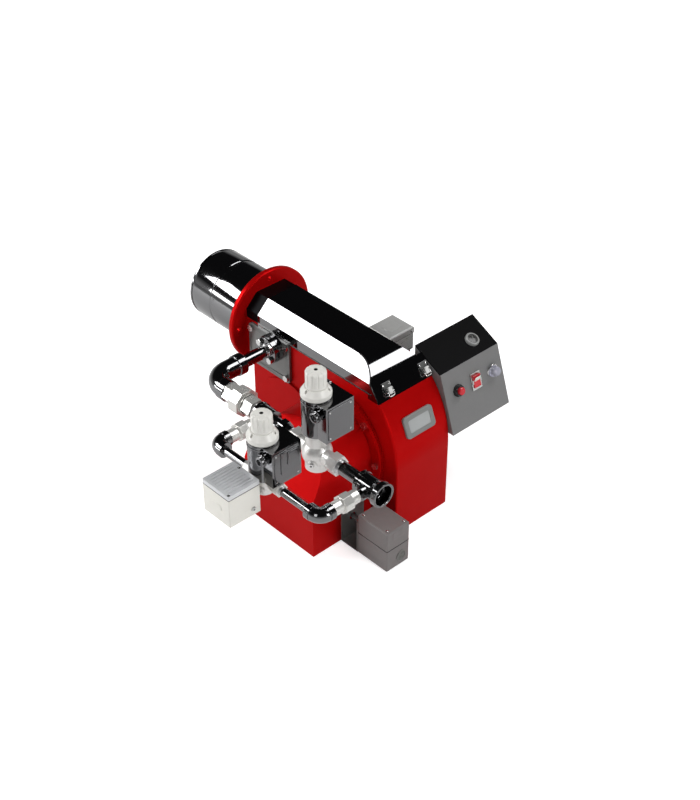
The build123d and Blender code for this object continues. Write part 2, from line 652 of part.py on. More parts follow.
def electrode_insulators():
    return together([tube("Y", x, 0, 5, 1.5, 20, 92) for x in (-ELECTRODE_X, ELECTRODE_X)])


def electrode_wires():
    return together([bar("Y", x, 0, 1.5, 4, HEAD_Y + 14) for x in (-ELECTRODE_X, ELECTRODE_X)])


# ---------------------------------------------------------------- gas line
def gas_plate():
    y0, y1 = INLET_PIPE_Y - 45, INLET_PIPE_Y + 80
    plate = block(HOUSE_LEFT - PLATE_T, HOUSE_LEFT, y0, y1, -72, SEAT_Z)
    plate = fillet(plate.edges().filter_by(Axis.X), 9.0)
    plate -= bar("X", INLET_PIPE_Y, 0, LANCE_R - LANCE_T, HOUSE_LEFT - 20, HOUSE_LEFT + 1)
    for y, z in PLATE_SCREWS:
        plate -= bar("X", y, z, SCREW_R, HOUSE_LEFT - 20, HOUSE_LEFT + 1)
    return plate


def gas_bolt_points():
    return [(INLET_PIPE_Y + a, b) for a, b in around(4, GAS_BOLT_PCD / 2, 45.0)]


def gas_flanges():
    """The welded flange and the pipe flange, face to face."""
    x0 = HOUSE_LEFT - PLATE_T
    half = GAS_FLANGE_T
    rings = []
    for i in range(2):
        a, b = x0 - (i + 1) * half, x0 - i * half
        ring = bar("X", INLET_PIPE_Y, 0, GAS_FLANGE_R, a, b)
        ring -= bar("X", INLET_PIPE_Y, 0, LINE_BORE if i == 0 else LINE_R, a - 1, b + 1)
        for y, z in gas_bolt_points():
            ring -= bar("X", y, z, SCREW_R, a - 1, b + 1)
        rings.append(ring)
    return together(rings)


FLANGE_FACE_X = HOUSE_LEFT - PLATE_T - 2 * GAS_FLANGE_T
ELBOW_END_X = -158.0
ELBOW_BEND = 40.0


def main_elbow():
    r, y0 = LINE_R + ELBOW_T, INLET_PIPE_Y
    body = bend(LINE_X, y0, ELBOW_BEND, r - 1, 90)
    body += bar("X", y0, 0, r - 1, LINE_X + ELBOW_BEND, ELBOW_END_X)
    body += bar("X", y0, 0, r + 1, ELBOW_END_X - 18, ELBOW_END_X)
    body += bar("Y", LINE_X, 0, r + 1, UNION_Y, y0 - ELBOW_BEND)
    body -= bend(LINE_X, y0, ELBOW_BEND, LINE_BORE, 90)
    body -= bar("X", y0, 0, LINE_BORE, LINE_X + ELBOW_BEND - 0.01, ELBOW_END_X + 1)
    body -= bar("X", y0, 0, LINE_R, ELBOW_END_X - SOCKET, ELBOW_END_X + 1)
    body -= bar("Y", LINE_X, 0, LINE_R, UNION_Y - 1, UNION_Y + SOCKET - 2)
    return body - bar("Y", LINE_X, 0, LINE_BORE, UNION_Y, y0 - ELBOW_BEND + 0.01)


def union_ends():
    """Both halves of the big union, each with its hexagon."""
    u = UNION_Y
    tail = tube("Y", LINE_X, 0, LINE_R, LINE_BORE, u + SOCKET - 2, u - 2)
    tail += prism("Y", LINE_X, 0, 38, 6, u - 26, u) - bar("Y", LINE_X, 0, LINE_BORE, u - 30, u + 1)
    tail += tube("Y", LINE_X, 0, 22, LINE_BORE, u - 34, u - 26)
    head = tube("Y", LINE_X, 0, 22, LINE_BORE, u - 56, u - 34)
    head += prism("Y", LINE_X, 0, 38, 6, u - 80, u - 56) - bar("Y", LINE_X, 0, LINE_BORE, u - 90, u)
    head -= bar("Y", LINE_X, 0, LINE_R, u - 81, u - 80 + SOCKET)
    return together([tail, head])


def union_nut():
    u = UNION_Y
    nut = prism("Y", LINE_X, 0, 54, 8, u - 52, u - 26, 22.5)
    return nut - bar("Y", LINE_X, 0, 22, u - 53, u - 25)


def line_pipes():
    """The straight 3/4 inch pieces of the gas line."""
    u = UNION_Y
    legs = [("X", INLET_PIPE_Y, ELBOW_END_X - SOCKET, FLANGE_FACE_X + GAS_FLANGE_T),
            ("Y", LINE_X, TEE_A_Y + 20 - SOCKET, u - 80 + SOCKET),
            ("Y", LINE_X, VALVE1_Y + VALVE1_HALF - SOCKET, TEE_A_Y - 20 + SOCKET),
            ("Y", LINE_X, TEE_B_Y + 24 - SOCKET, VALVE1_Y - VALVE1_HALF + SOCKET)]
    pipes = [tube(axis, u_pos, 0, LINE_R, LINE_BORE, a, b) for axis, u_pos, a, b in legs]
    mid = (VALVE1_Y + VALVE1_HALF + TEE_A_Y - 20) / 2
    pipes[2] += prism("Y", LINE_X, 0, 32, 6, mid - 7, mid + 7) - bar("Y", LINE_X, 0, LINE_R,
                                                                    mid - 9, mid + 9)
    return together(pipes)


def tee(y, half_a, half_b):
    """A line tee with a small branch toward the bypass."""
    r = LINE_R + ELBOW_T
    branch_x = LINE_X - 28.0
    body = bar("Y", LINE_X, 0, r, y - half_b, y + half_a)
    body += bar("X", y, 0, BYPASS_R + FITTING_T, branch_x, LINE_X)
    body += tube("Y", LINE_X, 0, r + 1.5, r - 1, y + half_a - 7, y + half_a)
    body += tube("X", y, 0, BYPASS_R + FITTING_T + 1.5, BYPASS_R + 2, branch_x, branch_x + 6)
    body -= bar("Y", LINE_X, 0, LINE_BORE, y - half_b - 1, y + half_a + 1)
    body -= bar("X", y, 0, BYPASS_BORE, branch_x - 1, LINE_X)
    body -= bar("X", y, 0, BYPASS_R, branch_x - 1, branch_x + 9)
    body -= bar("Y", LINE_X, 0, LINE_R, y + half_a - SOCKET, y + half_a + 1)
    return body


def line_tees():
    first = tee(TEE_A_Y, 20, 20) - bar("Y", LINE_X, 0, LINE_R, TEE_A_Y - 21, TEE_A_Y - 20 + SOCKET)
    return together([first, tee(TEE_B_Y, 24, 13)])


def inlet_collar():
    """The threaded inlet of the gas line, open to the front."""
    y0, y1 = INLET_FACE_Y, TEE_B_Y - 13
    r = INLET_COLLAR_R
    body = turned("+Y", (LINE_X, y0, 0), [
        (INLET_THREAD_R + 1.2, 0), (r - 1, 0), (r, 1), (r, 12), (r - 2, 14), (r - 4, y1 - y0),
        (LINE_BORE, y1 - y0), (LINE_BORE, INLET_THREAD_LEN), (INLET_THREAD_R, INLET_THREAD_LEN),
        (INLET_THREAD_R, 1.2)])
    return body


# ---------------------------------------------------------------- gas valves
def valve_body(x, y, half, ball, across, line_r, bore, coil_z):
    """Cast body on the line with hexagon ends and a core tube for the coil."""
    body = Pos(x, y, 0) * Sphere(ball)
    body += bar("Z", x, y, ball * 0.8, -ball * 1.15, 0)
    for s in (-1, 1):
        body += prism("Y", x, 0, across, 6, y + s * (half - 20), y + s * half)
        body += bar("Y", x, 0, across * 0.42, y, y + s * (half - 10))
    if coil_z > ball:
        body += bar("Z", x, y, ball * 0.72, 0, coil_z)
    body &= block(x - 60, x + 60, y - 80, y + 80, -80, coil_z)
    body += bar("Z", x, y, CORE_R, 0, coil_z + COIL_H)
    body -= bar("Y", x, 0, bore, y - half - 1, y + half + 1)
    for s in (-1, 1):
        body -= bar("Y", x, 0, line_r, y + s * (half - SOCKET), y + s * (half + 1))
    return body


def valve_coil(x, y, coil_z):
    """Moulded coil: a round back and a square terminal housing."""
    z0, z1 = coil_z, coil_z + COIL_H
    body = bar("Z", x, y, COIL_R, z0, z1)
    body += block(x - 18, x + 49, y - 46, y, z0 + 1, z1 - 1)
    body += block(x, x + 49, y, y + 20, z0 + 1, z1 - 1)
    body += bar("X", y - 26, z1 - 22, 9, x - 26, x - 17)
    return body - bar("Z", x, y, CORE_R, z0 - 1, z1 + 1)


def valve_collar(x, y, coil_z):
    """Clamping collar with the spigot that guides the adjusting cap."""
    z1 = coil_z + COIL_H
    body = turned("+Z", (x, y, z1), [
        (0, 0), (COLLAR_R - 3, 0), (COLLAR_R, 3), (COLLAR_R, 11), (COLLAR_R - 7, COLLAR_H),
        (8, COLLAR_H), (8, COLLAR_H + 24), (0, COLLAR_H + 24)])
    for a, b in around(3, COLLAR_R - 5.5, -60.0):
        body -= bar("Z", x + a, y + b, 2.6, z1 + 8, z1 + COLLAR_H + 1)
    return body


def valve_cap(x, y, coil_z):
    """Adjusting cap that turns on the collar."""
    z1 = coil_z + COIL_H + COLLAR_H + GAP
    body = turned("+Z", (x, y, z1), [
        (8 + FIT, 0), (CAP_R - 1, 0), (CAP_R, 1), (CAP_R, CAP_H - 2), (CAP_R - 2, CAP_H),
        (0, CAP_H), (0, 26), (8 + FIT, 26)])
    return body - block(x - 1.2, x + 1.2, y - 5, y + 5, z1 + CAP_H - 1.5, z1 + CAP_H + 1)


COIL1_Z = 49.0
COIL2_Z = 12.0


# ---------------------------------------------------------------- bypass line
UNION_X = (-331.0, -273.0)


def bypass_elbows():
    r = BYPASS_R + ELBOW_T - 1.5
    parts = []
    for y, start, sign in ((TEE_A_Y, 90, -1), (TEE_B_Y, 180, 1)):
        body = bend(BYPASS_X, y, 16, r, start)
        body += bar("X", y, 0, r + 1, BYPASS_X + 16, UNION_X[0] - 2)
        body += bar("Y", BYPASS_X, 0, r + 1, y + sign * 16, y + sign * 27)
        body -= bend(BYPASS_X, y, 16, BYPASS_BORE, start)
        body -= bar("X", y, 0, BYPASS_R, BYPASS_X + 16, UNION_X[0])
        body -= bar("Y", BYPASS_X, 0, BYPASS_R, y + sign * 16, y + sign * 28)
        parts.append(body)
    return together(parts)


def bypass_unions():
    parts = []
    for y in (TEE_A_Y, TEE_B_Y):
        body = prism("X", y, 0, 25, 6, UNION_X[0], UNION_X[1])
        body &= bar("X", y, 0, 13.4, UNION_X[0], UNION_X[1])
        body += prism("X", y, 0, 34, 8, UNION_X[0] + 20, UNION_X[0] + 40, 22.5)
        body -= bar("X", y, 0, BYPASS_R, UNION_X[0] - 1, UNION_X[0] + 16)
        body -= bar("X", y, 0, BYPASS_R, UNION_X[1] - 14, UNION_X[1] + 1)
        body -= bar("X", y, 0, BYPASS_BORE, UNION_X[0], UNION_X[1])
        parts.append(body)
    return together(parts)


def bypass_pipes():
    parts = []
    for y in (TEE_A_Y, TEE_B_Y):
        parts.append(tube("X", y, 0, BYPASS_R, BYPASS_BORE, UNION_X[1] - 14, LINE_X - 19))
        parts.append(tube("X", y, 0, BYPASS_R, BYPASS_BORE, BYPASS_X + 16, UNION_X[0] + 16))
    parts.append(tube("Y", BYPASS_X, 0, BYPASS_R, BYPASS_BORE,
                      VALVE2_Y + VALVE2_HALF - SOCKET, TEE_A_Y - 16))
    parts.append(tube("Y", BYPASS_X, 0, BYPASS_R, BYPASS_BORE,
                      TEE_B_Y + 16, VALVE2_Y - VALVE2_HALF + SOCKET))
    return together(parts)


# ---------------------------------------------------------------- switch boxes
GS = (-464.0, -393.0, -439.0, -366.0, -39.0, 31.0)     # gas switch x, y, z limits
AS = (94.0, 163.0, -267.0, -205.0, -34.0, 20.0)        # air switch x, y, z limits


def gas_switch_box():
    x0, x1, y0, y1, z0, z1 = GS
    body = block(x0, x1, y0, y1, z0, z1 - 9)
    body = fillet(body.edges().filter_by(Axis.Z), 2.0)
    port_y = VALVE2_Y
    body += bar("X", port_y, 0, 9, x1 - 1, BYPASS_X - 18)
    return body - Pos(BYPASS_X, VALVE2_Y, 0) * Sphere(VALVE2_BALL)


def gas_switch_lid():
    x0, x1, y0, y1, z0, z1 = GS
    lid = block(x0, x1, y0, y1, z1 - 9, z1)
    lid = fillet(lid.edges().filter_by(Axis.Z), 2.0)
    for i in range(9):
        y = y0 + 7 + i * 7.2
        lid -= block(x0 + 6, x1 - 8, y, y + 3.0, z1 - 1.2, z1 + 1)
    return lid


def air_switch_box():
    x0, x1, y0, y1, z0, z1 = AS
    return block(x0, x1, y0, y1, z0, z1 - 14)


def air_switch_lid():
    x0, x1, y0, y1, z0, z1 = AS
    lid = block(x0 - 1, x1 + 1, y0 - 1, y1 + 1, z1 - 14, z1)
    return chamfer(lid.faces().sort_by(Axis.Z)[-1].edges(), 3.0)


# ---------------------------------------------------------------- control box
def unit(a, b):
    d = hypot(b[0] - a[0], b[1] - a[1])
    return ((b[0] - a[0]) / d, (b[1] - a[1]) / d)


def desk_inner():
    """Inner corners of the sloping faces, behind the panel sheets."""
    t = PANEL_SHEET
    u1, u2 = unit(PANEL_FOOT, PANEL_KNEE), unit(PANEL_KNEE, PANEL_BACK)
    n1, n2 = (u1[1], -u1[0]), (u2[1], -u2[0])
    k = t / (1 + n1[0] * n2[0] + n1[1] * n2[1])
    knee = (PANEL_KNEE[0] + (n1[0] + n2[0]) * k, PANEL_KNEE[1] + (n1[1] + n2[1]) * k)
    foot = (PANEL_FOOT[0] + t / n1[0], PANEL_FOOT[1])
    back = (PANEL_BACK[0], PANEL_BACK[1] + t / n2[1])
    return foot, knee, back


def panel_plane(x, s, upper=False):
    """Plane on a sloping face: x across, s up the slope."""
    a, b = (PANEL_KNEE, PANEL_BACK) if upper else (PANEL_FOOT, PANEL_KNEE)
    u = unit(a, b)
    return Plane(origin=(x, a[0] + u[0] * s, a[1] + u[1] * s), x_dir=(1, 0, 0),
                 z_dir=(0, -u[1], u[0]))


def desk_slab(points):
    return slab_x(points, PANEL_X0, PANEL_X0 + PANEL_W)


def control_case():
    foot, knee, back = desk_inner()
    low = PANEL_FOOT[1]
    rear = PANEL_BACK[0]
    solid = desk_slab([foot, knee, back, (rear, low)])
    hollow = slab_x([(foot[0] - 9, low + PANEL_SHEET), (knee[0] - 9, knee[1] + 9),
                     (rear - PANEL_SHEET, back[1] + 9), (rear - PANEL_SHEET, low + PANEL_SHEET)],
                    PANEL_X0 + PANEL_SHEET, PANEL_X0 + PANEL_W - PANEL_SHEET)
    return solid - hollow


def panel_lower():
    foot, knee, back = desk_inner()
    sheet = desk_slab([PANEL_FOOT, PANEL_KNEE, knee, foot])
    for x, r in ((BUTTON_X, 7.0), (LAMP_X, 6.0)):
        sheet -= panel_plane(x, ROW_S) * Cylinder(r, 12)
    return sheet - panel_plane(ROCKER_X, ROW_S) * Box(18, 28, 12)


def panel_upper():
    foot, knee, back = desk_inner()
    return desk_slab([PANEL_KNEE, PANEL_BACK, back, knee])


def reset_base():
    ring = turned("+Z", (0, 0, 0), [(BUTTON_R + FIT, 0), (13, 0), (13, 3), (11, 8),
                                    (BUTTON_R + FIT, 8)])
    return panel_plane(BUTTON_X, ROW_S) * ring


def reset_button():
    body = turned("+Z", (0, 0, 0), [(0, 4), (BUTTON_R, 4), (BUTTON_R, 12.5), (BUTTON_R - 1.5, 14),
                                    (0, 14)])
    return panel_plane(BUTTON_X, ROW_S) * body


def rocker_bezel():
    frame = Pos(0, 0, 1.5) * Box(26, 36, 3) - Pos(0, 0, 1.5) * Box(18.6, 28.6, 5)
    for s in (-1, 1):
        frame += Pos(s * 11, 0, 3.4) * Box(3.4, 8, 3.2)
    frame -= Pos(0, 0, 3.2) * Rot(0, 90, 0) * Cylinder(1.2 + FIT, 30)
    return panel_plane(ROCKER_X, ROW_S) * frame


def rocker_key():
    key = extrude(Plane.YZ.offset(-9) * make_face(Polyline(
        (-13.2, 0.6), (-13.2, 5.2), (0, 4.6), (13.2, 8.6), (13.2, 0.6), close=True)), amount=18)
    key += Pos(0, 0, 3.2) * Rot(0, 90, 0) * Cylinder(1.2, 24.5)
    return panel_plane(ROCKER_X, ROW_S) * key


def run_lamp():
    lens = turned("+Z", (0, 0, 0), [(0, -2), (6, -2), (6, 0), (12, 0), (12, 4), (10, 5), (10, 14),
                                    (8, 17), (4, 18.5), (0, 19)])
    return panel_plane(LAMP_X, ROW_S) * lens


def gauge_bezel():
    ring = turned("+Z", (0, 0, 0), [(0, 0), (15, 0), (15, 4), (13.5, 6), (11, 6), (11, 3), (0, 3)])
    return panel_plane(GAUGE_X, GAUGE_S, True) * ring


def gauge_glass():
    return panel_plane(GAUGE_X, GAUGE_S, True) * Pos(0, 0, 4) * Cylinder(11, 2)


def ignition_transformer():
    y0, low = PANEL_BACK[0] - PANEL_SHEET, PANEL_FOOT[1] + PANEL_SHEET
    return block(PANEL_X0 + 20, PANEL_X0 + 90, y0 - 62, y0, low, low + 78)


def hex_screws():
    """Every M8 hexagon screw of the burner."""
    screws = [screw("-X", (RING_FACE, y, z), 14) for y, z in ring_points()]
    screws += [screw("-X", (HOUSE_LEFT - PLATE_T, y, z), 10) for y, z in PLATE_SCREWS]
    screws += [screw("-X", (FLANGE_FACE_X, y, z), 2 * GAS_FLANGE_T) for y, z in gas_bolt_points()]
    screws += [screw("+Y", (x, -SCREW_HEAD - 0.5, z), 28) for x, z in FLANGE_SCREWS]
    return together(screws)


# ---------------------------------------------------------------- write the nodes
NODES = {
    "scroll_housing": scroll_housing, "intake_box": intake_box, "fan_inlet_ring": fan_inlet_ring,
    "fan_impeller": fan_impeller, "motor_frame": motor_frame, "motor_cowl": motor_cowl,
    "motor_shaft": motor_shaft, "damper_spindle": damper_spindle, "damper_blade": damper_blade,
    "servo_bracket": servo_bracket, "servo_base": servo_base, "servo_cover": servo_cover,
    "top_cover": top_cover,
    "latch_plates": lambda: together([latch_plate(x) for x in LATCH_XS]),
    "latch_hook_left": lambda: latch_hook(LATCH_XS[0]),
    "latch_hook_right": lambda: latch_hook(LATCH_XS[1]),
    "sight_frame": sight_frame, "sight_pane": sight_pane, "boiler_flange": boiler_flange,
    "flame_tube": flame_tube, "gas_lance": gas_lance, "diffuser_disc": diffuser_disc,
    "electrode_clamp": electrode_clamp, "electrode_insulators": electrode_insulators,
    "electrode_wires": electrode_wires, "gas_plate": gas_plate, "gas_flanges": gas_flanges,
    "main_elbow": main_elbow, "union_ends": union_ends, "union_nut": union_nut,
    "line_pipes": line_pipes, "line_tees": line_tees, "inlet_collar": inlet_collar,
    "valve1_body": lambda: valve_body(LINE_X, VALVE1_Y, VALVE1_HALF, VALVE1_BALL, 36, LINE_R, LINE_BORE,
                                      COIL1_Z),
    "valve1_coil": lambda: valve_coil(LINE_X, VALVE1_Y, COIL1_Z),
    "valve1_collar": lambda: valve_collar(LINE_X, VALVE1_Y, COIL1_Z),
    "valve1_cap": lambda: valve_cap(LINE_X, VALVE1_Y, COIL1_Z),
    "valve2_body": lambda: valve_body(BYPASS_X, VALVE2_Y, VALVE2_HALF, VALVE2_BALL, 24, BYPASS_R,
                                      BYPASS_BORE, COIL2_Z),
    "valve2_coil": lambda: valve_coil(BYPASS_X, VALVE2_Y, COIL2_Z),
    "valve2_collar": lambda: valve_collar(BYPASS_X, VALVE2_Y, COIL2_Z),
    "valve2_cap": lambda: valve_cap(BYPASS_X, VALVE2_Y, COIL2_Z),
    "bypass_elbows": bypass_elbows, "bypass_unions": bypass_unions, "bypass_pipes": bypass_pipes,
    "gas_switch_box": gas_switch_box, "gas_switch_lid": gas_switch_lid,
    "air_switch_box": air_switch_box, "air_switch_lid": air_switch_lid,
    "control_case": control_case, "panel_lower": panel_lower, "panel_upper": panel_upper,
    "reset_base": reset_base, "reset_button": reset_button, "rocker_bezel": rocker_bezel,
    "rocker_key": rocker_key, "run_lamp": run_lamp, "gauge_bezel": gauge_bezel,
    "gauge_glass": gauge_glass, "ignition_transformer": ignition_transformer,
    "hex_screws": hex_screws,
}

for node, make in NODES.items():
    save(node, make())
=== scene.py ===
# %% [markdown]
# # A gas burner for a boiler, dressed for a picture
#
# The real object is a forced-draught gas burner. A red sheet and cast housing holds the fan, a
# bright flame tube goes into the boiler, a loop of black gas pipe with two solenoid valves hangs
# on its left side, and a desk-shaped control box stands on its right. The solids come from the
# CAD frame. This lesson gives them finishes, adds the small formed pieces that solids leave out,
# and lights them as a product picture.

# %% Load the frame
import json
import math

import bmesh
import bpy
import numpy as np
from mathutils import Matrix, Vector


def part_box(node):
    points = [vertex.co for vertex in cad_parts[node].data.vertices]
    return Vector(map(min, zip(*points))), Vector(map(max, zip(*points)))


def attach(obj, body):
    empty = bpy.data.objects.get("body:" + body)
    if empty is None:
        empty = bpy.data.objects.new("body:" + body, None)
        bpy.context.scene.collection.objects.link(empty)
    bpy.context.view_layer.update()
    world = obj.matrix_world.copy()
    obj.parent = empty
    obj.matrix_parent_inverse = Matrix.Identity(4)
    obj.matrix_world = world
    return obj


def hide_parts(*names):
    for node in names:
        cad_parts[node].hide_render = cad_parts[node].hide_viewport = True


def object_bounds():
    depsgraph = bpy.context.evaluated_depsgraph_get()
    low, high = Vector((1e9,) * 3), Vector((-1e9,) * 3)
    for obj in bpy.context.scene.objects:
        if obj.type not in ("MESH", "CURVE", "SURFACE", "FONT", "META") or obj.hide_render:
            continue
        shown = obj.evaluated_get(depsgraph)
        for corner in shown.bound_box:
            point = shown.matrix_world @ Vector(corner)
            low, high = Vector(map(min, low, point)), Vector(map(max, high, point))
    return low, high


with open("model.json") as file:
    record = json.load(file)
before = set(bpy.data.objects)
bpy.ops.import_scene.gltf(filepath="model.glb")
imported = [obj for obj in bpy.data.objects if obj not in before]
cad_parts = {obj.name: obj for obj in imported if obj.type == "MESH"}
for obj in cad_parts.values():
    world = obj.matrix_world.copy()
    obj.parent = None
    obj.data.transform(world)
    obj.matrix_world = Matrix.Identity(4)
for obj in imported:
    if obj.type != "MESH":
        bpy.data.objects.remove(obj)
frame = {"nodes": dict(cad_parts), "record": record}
nodes = frame["nodes"]
cad_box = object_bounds()

# %% [markdown]
# ## The camera
# The burner is seen from its front left and well above, along a line that drops about 36 degrees.
# A long lens keeps the parallel edges nearly parallel, as a product picture does.

# %% Camera
scene = bpy.context.scene
camera = bpy.data.objects.new("camera", bpy.data.cameras.new("camera"))
camera.location = (-1.6677, -2.0336, 1.7064)
camera.rotation_euler = (math.radians(53.6), 0.0, math.radians(-43.1))
camera.data.lens = 67.4
camera.data.sensor_width = 36.0
scene.collection.objects.link(camera)
scene.camera = camera
scene.view_settings.view_transform = "Standard"
print("camera at", tuple(camera.location))

# %% [markdown]
# ## Rounded edges on the solids
# A CAD edge is infinitely sharp, and a real painted or cast edge never is: its small rounding is
# what catches a thin line of light. The frame's meshes can't be changed, so the rounding is a
# stack of modifiers. The loose triangles are joined, the shallow edges are shaded smooth, and the
# sharp ones get a bevel of a few tenths of a millimetre.

# %% Edge rounding
def join_and_smooth(angle):
    """A geometry node tree: merge the doubles, then smooth every edge below the angle."""
    tree = bpy.data.node_groups.new("join_and_smooth", "GeometryNodeTree")
    tree.interface.new_socket("Geometry", in_out="INPUT", socket_type="NodeSocketGeometry")
    tree.interface.new_socket("Geometry", in_out="OUTPUT", socket_type="NodeSocketGeometry")
    add, link = tree.nodes.new, tree.links.new
    start, end = add("NodeGroupInput"), add("NodeGroupOutput")
    merge = add("GeometryNodeMergeByDistance")
    merge.inputs["Distance"].default_value = 0.00001
    faces = add("GeometryNodeSetShadeSmooth")
    edges = add("GeometryNodeSetShadeSmooth")
    edges.domain = "EDGE"
    edges.inputs["Shade Smooth"].default_value = False
    turn = add("GeometryNodeInputMeshEdgeAngle")
    sharp = add("FunctionNodeCompare")
    sharp.operation = "GREATER_THAN"
    sharp.inputs[1].default_value = angle
    link(start.outputs[0], merge.inputs["Geometry"])
    link(merge.outputs["Geometry"], faces.inputs["Geometry"])
    link(faces.outputs["Geometry"], edges.inputs["Geometry"])
    link(turn.outputs["Unsigned Angle"], sharp.inputs[0])
    link(sharp.outputs["Result"], edges.inputs["Selection"])
    link(edges.outputs["Geometry"], end.inputs[0])
    return tree


SMOOTH_TREE = join_and_smooth(math.radians(28))


def round_edges(node, width, segments=2):
    """Rounds the sharp edges of a CAD node by a width in metres."""
    piece = nodes[node]
    smooth = piece.modifiers.new("smooth", "NODES")
    smooth.node_group = SMOOTH_TREE
    if width > 0:
        soft = piece.modifiers.new("edges", "BEVEL")
        soft.width = width
        soft.segments = segments
        soft.limit_method = "ANGLE"
        soft.angle_limit = math.radians(38)
        soft.use_clamp_overlap = True
        soft.harden_normals = True


EDGE_MM = {
    "scroll_housing": 1.2, "intake_box": 1.2, "top_cover": 0.5, "boiler_flange": 0.6, "flame_tube": 0.5,
    "control_case": 0.7, "panel_lower": 0.4, "panel_upper": 0.4, "gas_switch_box": 0.8,
    "gas_switch_lid": 0.35, "air_switch_box": 0.8, "air_switch_lid": 0.8, "servo_base": 0.6,
    "servo_cover": 0.6, "servo_bracket": 0.5, "gas_plate": 0.6, "gas_flanges": 0.8, "line_tees": 0.9,
    "main_elbow": 0.9, "inlet_collar": 0.9, "valve1_body": 0.9, "valve2_body": 0.7,
    "valve1_coil": 1.0, "valve2_coil": 1.0, "valve1_collar": 0.7, "valve2_collar": 0.7,
    "union_nut": 0.8, "union_ends": 0.8, "bypass_unions": 0.6, "bypass_elbows": 0.6,
    "sight_frame": 0.6, "hex_screws": 0.35, "latch_plates": 0.25, "latch_hook_left": 0.4,
    "latch_hook_right": 0.4, "rocker_bezel": 0.5, "rocker_key": 0.5, "reset_button": 0.5,
    "reset_base": 0.4, "gauge_bezel": 0.4, "motor_cowl": 0.8, "motor_frame": 0.4}
for name in nodes:
    round_edges(name, EDGE_MM.get(name, 0.0) / 1000.0)
print("edges rounded on", len(EDGE_MM), "nodes")

# %% [markdown]
# ## Effects shared by several finishes
# Real surfaces are never one even colour. Three node groups give the differences, and each
# finish sets their strengths for itself. `cloudy` shifts colour and gloss in soft patches,
# `skin` gives the fine relief of sprayed paint, moulded plastic or cast metal, and `dust` finds
# faces that look upwards, where a pale film settles. They put out only colours, numbers and
# normals, so the shader itself stays in each material.

# %% Node group helpers
def new_group(name, inputs, outputs):
    """A shader node group with named sockets; inputs are (name, kind, value)."""
    group = bpy.data.node_groups.new(name, "ShaderNodeTree")
    for label, kind, value in inputs:
        socket = group.interface.new_socket(label, in_out="INPUT", socket_type="NodeSocket" + kind)
        if value is not None:
            socket.default_value = value
    for label, kind in outputs:
        group.interface.new_socket(label, in_out="OUTPUT", socket_type="NodeSocket" + kind)
    return group, group.nodes.new("NodeGroupInput"), group.nodes.new("NodeGroupOutput")


def maths(tree, operation, first, second, clamp=False):
    """One Math node; each input is a socket or a number."""
    node = tree.nodes.new("ShaderNodeMath")
    node.operation, node.use_clamp = operation, clamp
    for socket, value in zip(node.inputs, (first, second)):
        if isinstance(value, (int, float)):
            socket.default_value = value
        else:
            tree.links.new(value, socket)
    return node.outputs[0]


def noise(tree, vector, scale, detail=3.0):
    """The 0 to 1 value of a noise texture at a scale per metre."""
    node = tree.nodes.new("ShaderNodeTexNoise")
    node.inputs["Detail"].default_value = detail
    tree.links.new(vector, node.inputs["Vector"])
    if isinstance(scale, (int, float)):
        node.inputs["Scale"].default_value = scale
    else:
        tree.links.new(scale, node.inputs["Scale"])
    return node.outputs["Fac"]


def blend_colours(tree, factor, first, second):
    """Mixes two colours; each may be a socket or four numbers."""
    node = tree.nodes.new("ShaderNodeMix")
    node.data_type = "RGBA"
    for socket, value in ((node.inputs[0], factor), (node.inputs[6], first), (node.inputs[7], second)):
        if isinstance(value, (int, float, tuple)):
            socket.default_value = value
        else:
            tree.links.new(value, socket)
    return node.outputs[2]


def cloudy_group():
    """With s = amount·(broad + fine noise - 1): colour times 1 + 2s, and roughness plus s."""
    tree, start, end = new_group("cloudy", [
        ("Vector", "Vector", None), ("Colour", "Color", (0.5, 0.5, 0.5, 1)), ("Roughness", "Float", 0.4),
        ("Amount", "Float", 0.1), ("Scale", "Float", 12.0)], [("Colour", "Color"), ("Roughness", "Float")])
    link = tree.links.new
    broad = noise(tree, start.outputs["Vector"], start.outputs["Scale"], 2.0)
    fine_scale = maths(tree, "MULTIPLY", start.outputs["Scale"], 9.0)
    fine = noise(tree, start.outputs["Vector"], fine_scale, 4.0)
    both = maths(tree, "SUBTRACT", maths(tree, "ADD", broad, fine), 1.0)
    shift = maths(tree, "MULTIPLY", both, start.outputs["Amount"])
    level = maths(tree, "ADD", maths(tree, "MULTIPLY", shift, 2.0), 1.0)
    scaled = tree.nodes.new("ShaderNodeVectorMath")
    scaled.operation = "SCALE"
    link(start.outputs["Colour"], scaled.inputs[0])
    link(level, scaled.inputs["Scale"])
    link(scaled.outputs[0], end.inputs["Colour"])
    link(maths(tree, "ADD", start.outputs["Roughness"], shift, True), end.inputs["Roughness"])
    return tree


def skin_group():
    """A bump from noise: broad waves and a finer grain, added in shares."""
    tree, start, end = new_group("skin", [
        ("Vector", "Vector", None), ("Scale", "Float", 200.0), ("Grain", "Float", 0.3),
        ("Depth", "Float", 0.00005), ("Strength", "Float", 0.3)], [("Normal", "Vector")])
    wave = noise(tree, start.outputs["Vector"], start.outputs["Scale"], 1.0)
    grain_scale = maths(tree, "MULTIPLY", start.outputs["Scale"], 6.0)
    grain = maths(tree, "MULTIPLY", noise(tree, start.outputs["Vector"], grain_scale, 2.0),
                  start.outputs["Grain"])
    bump = tree.nodes.new("ShaderNodeBump")
    tree.links.new(maths(tree, "ADD", wave, grain), bump.inputs["Height"])
    tree.links.new(start.outputs["Depth"], bump.inputs["Distance"])
    tree.links.new(start.outputs["Strength"], bump.inputs["Strength"])
    tree.links.new(bump.outputs["Normal"], end.inputs["Normal"])
    return tree


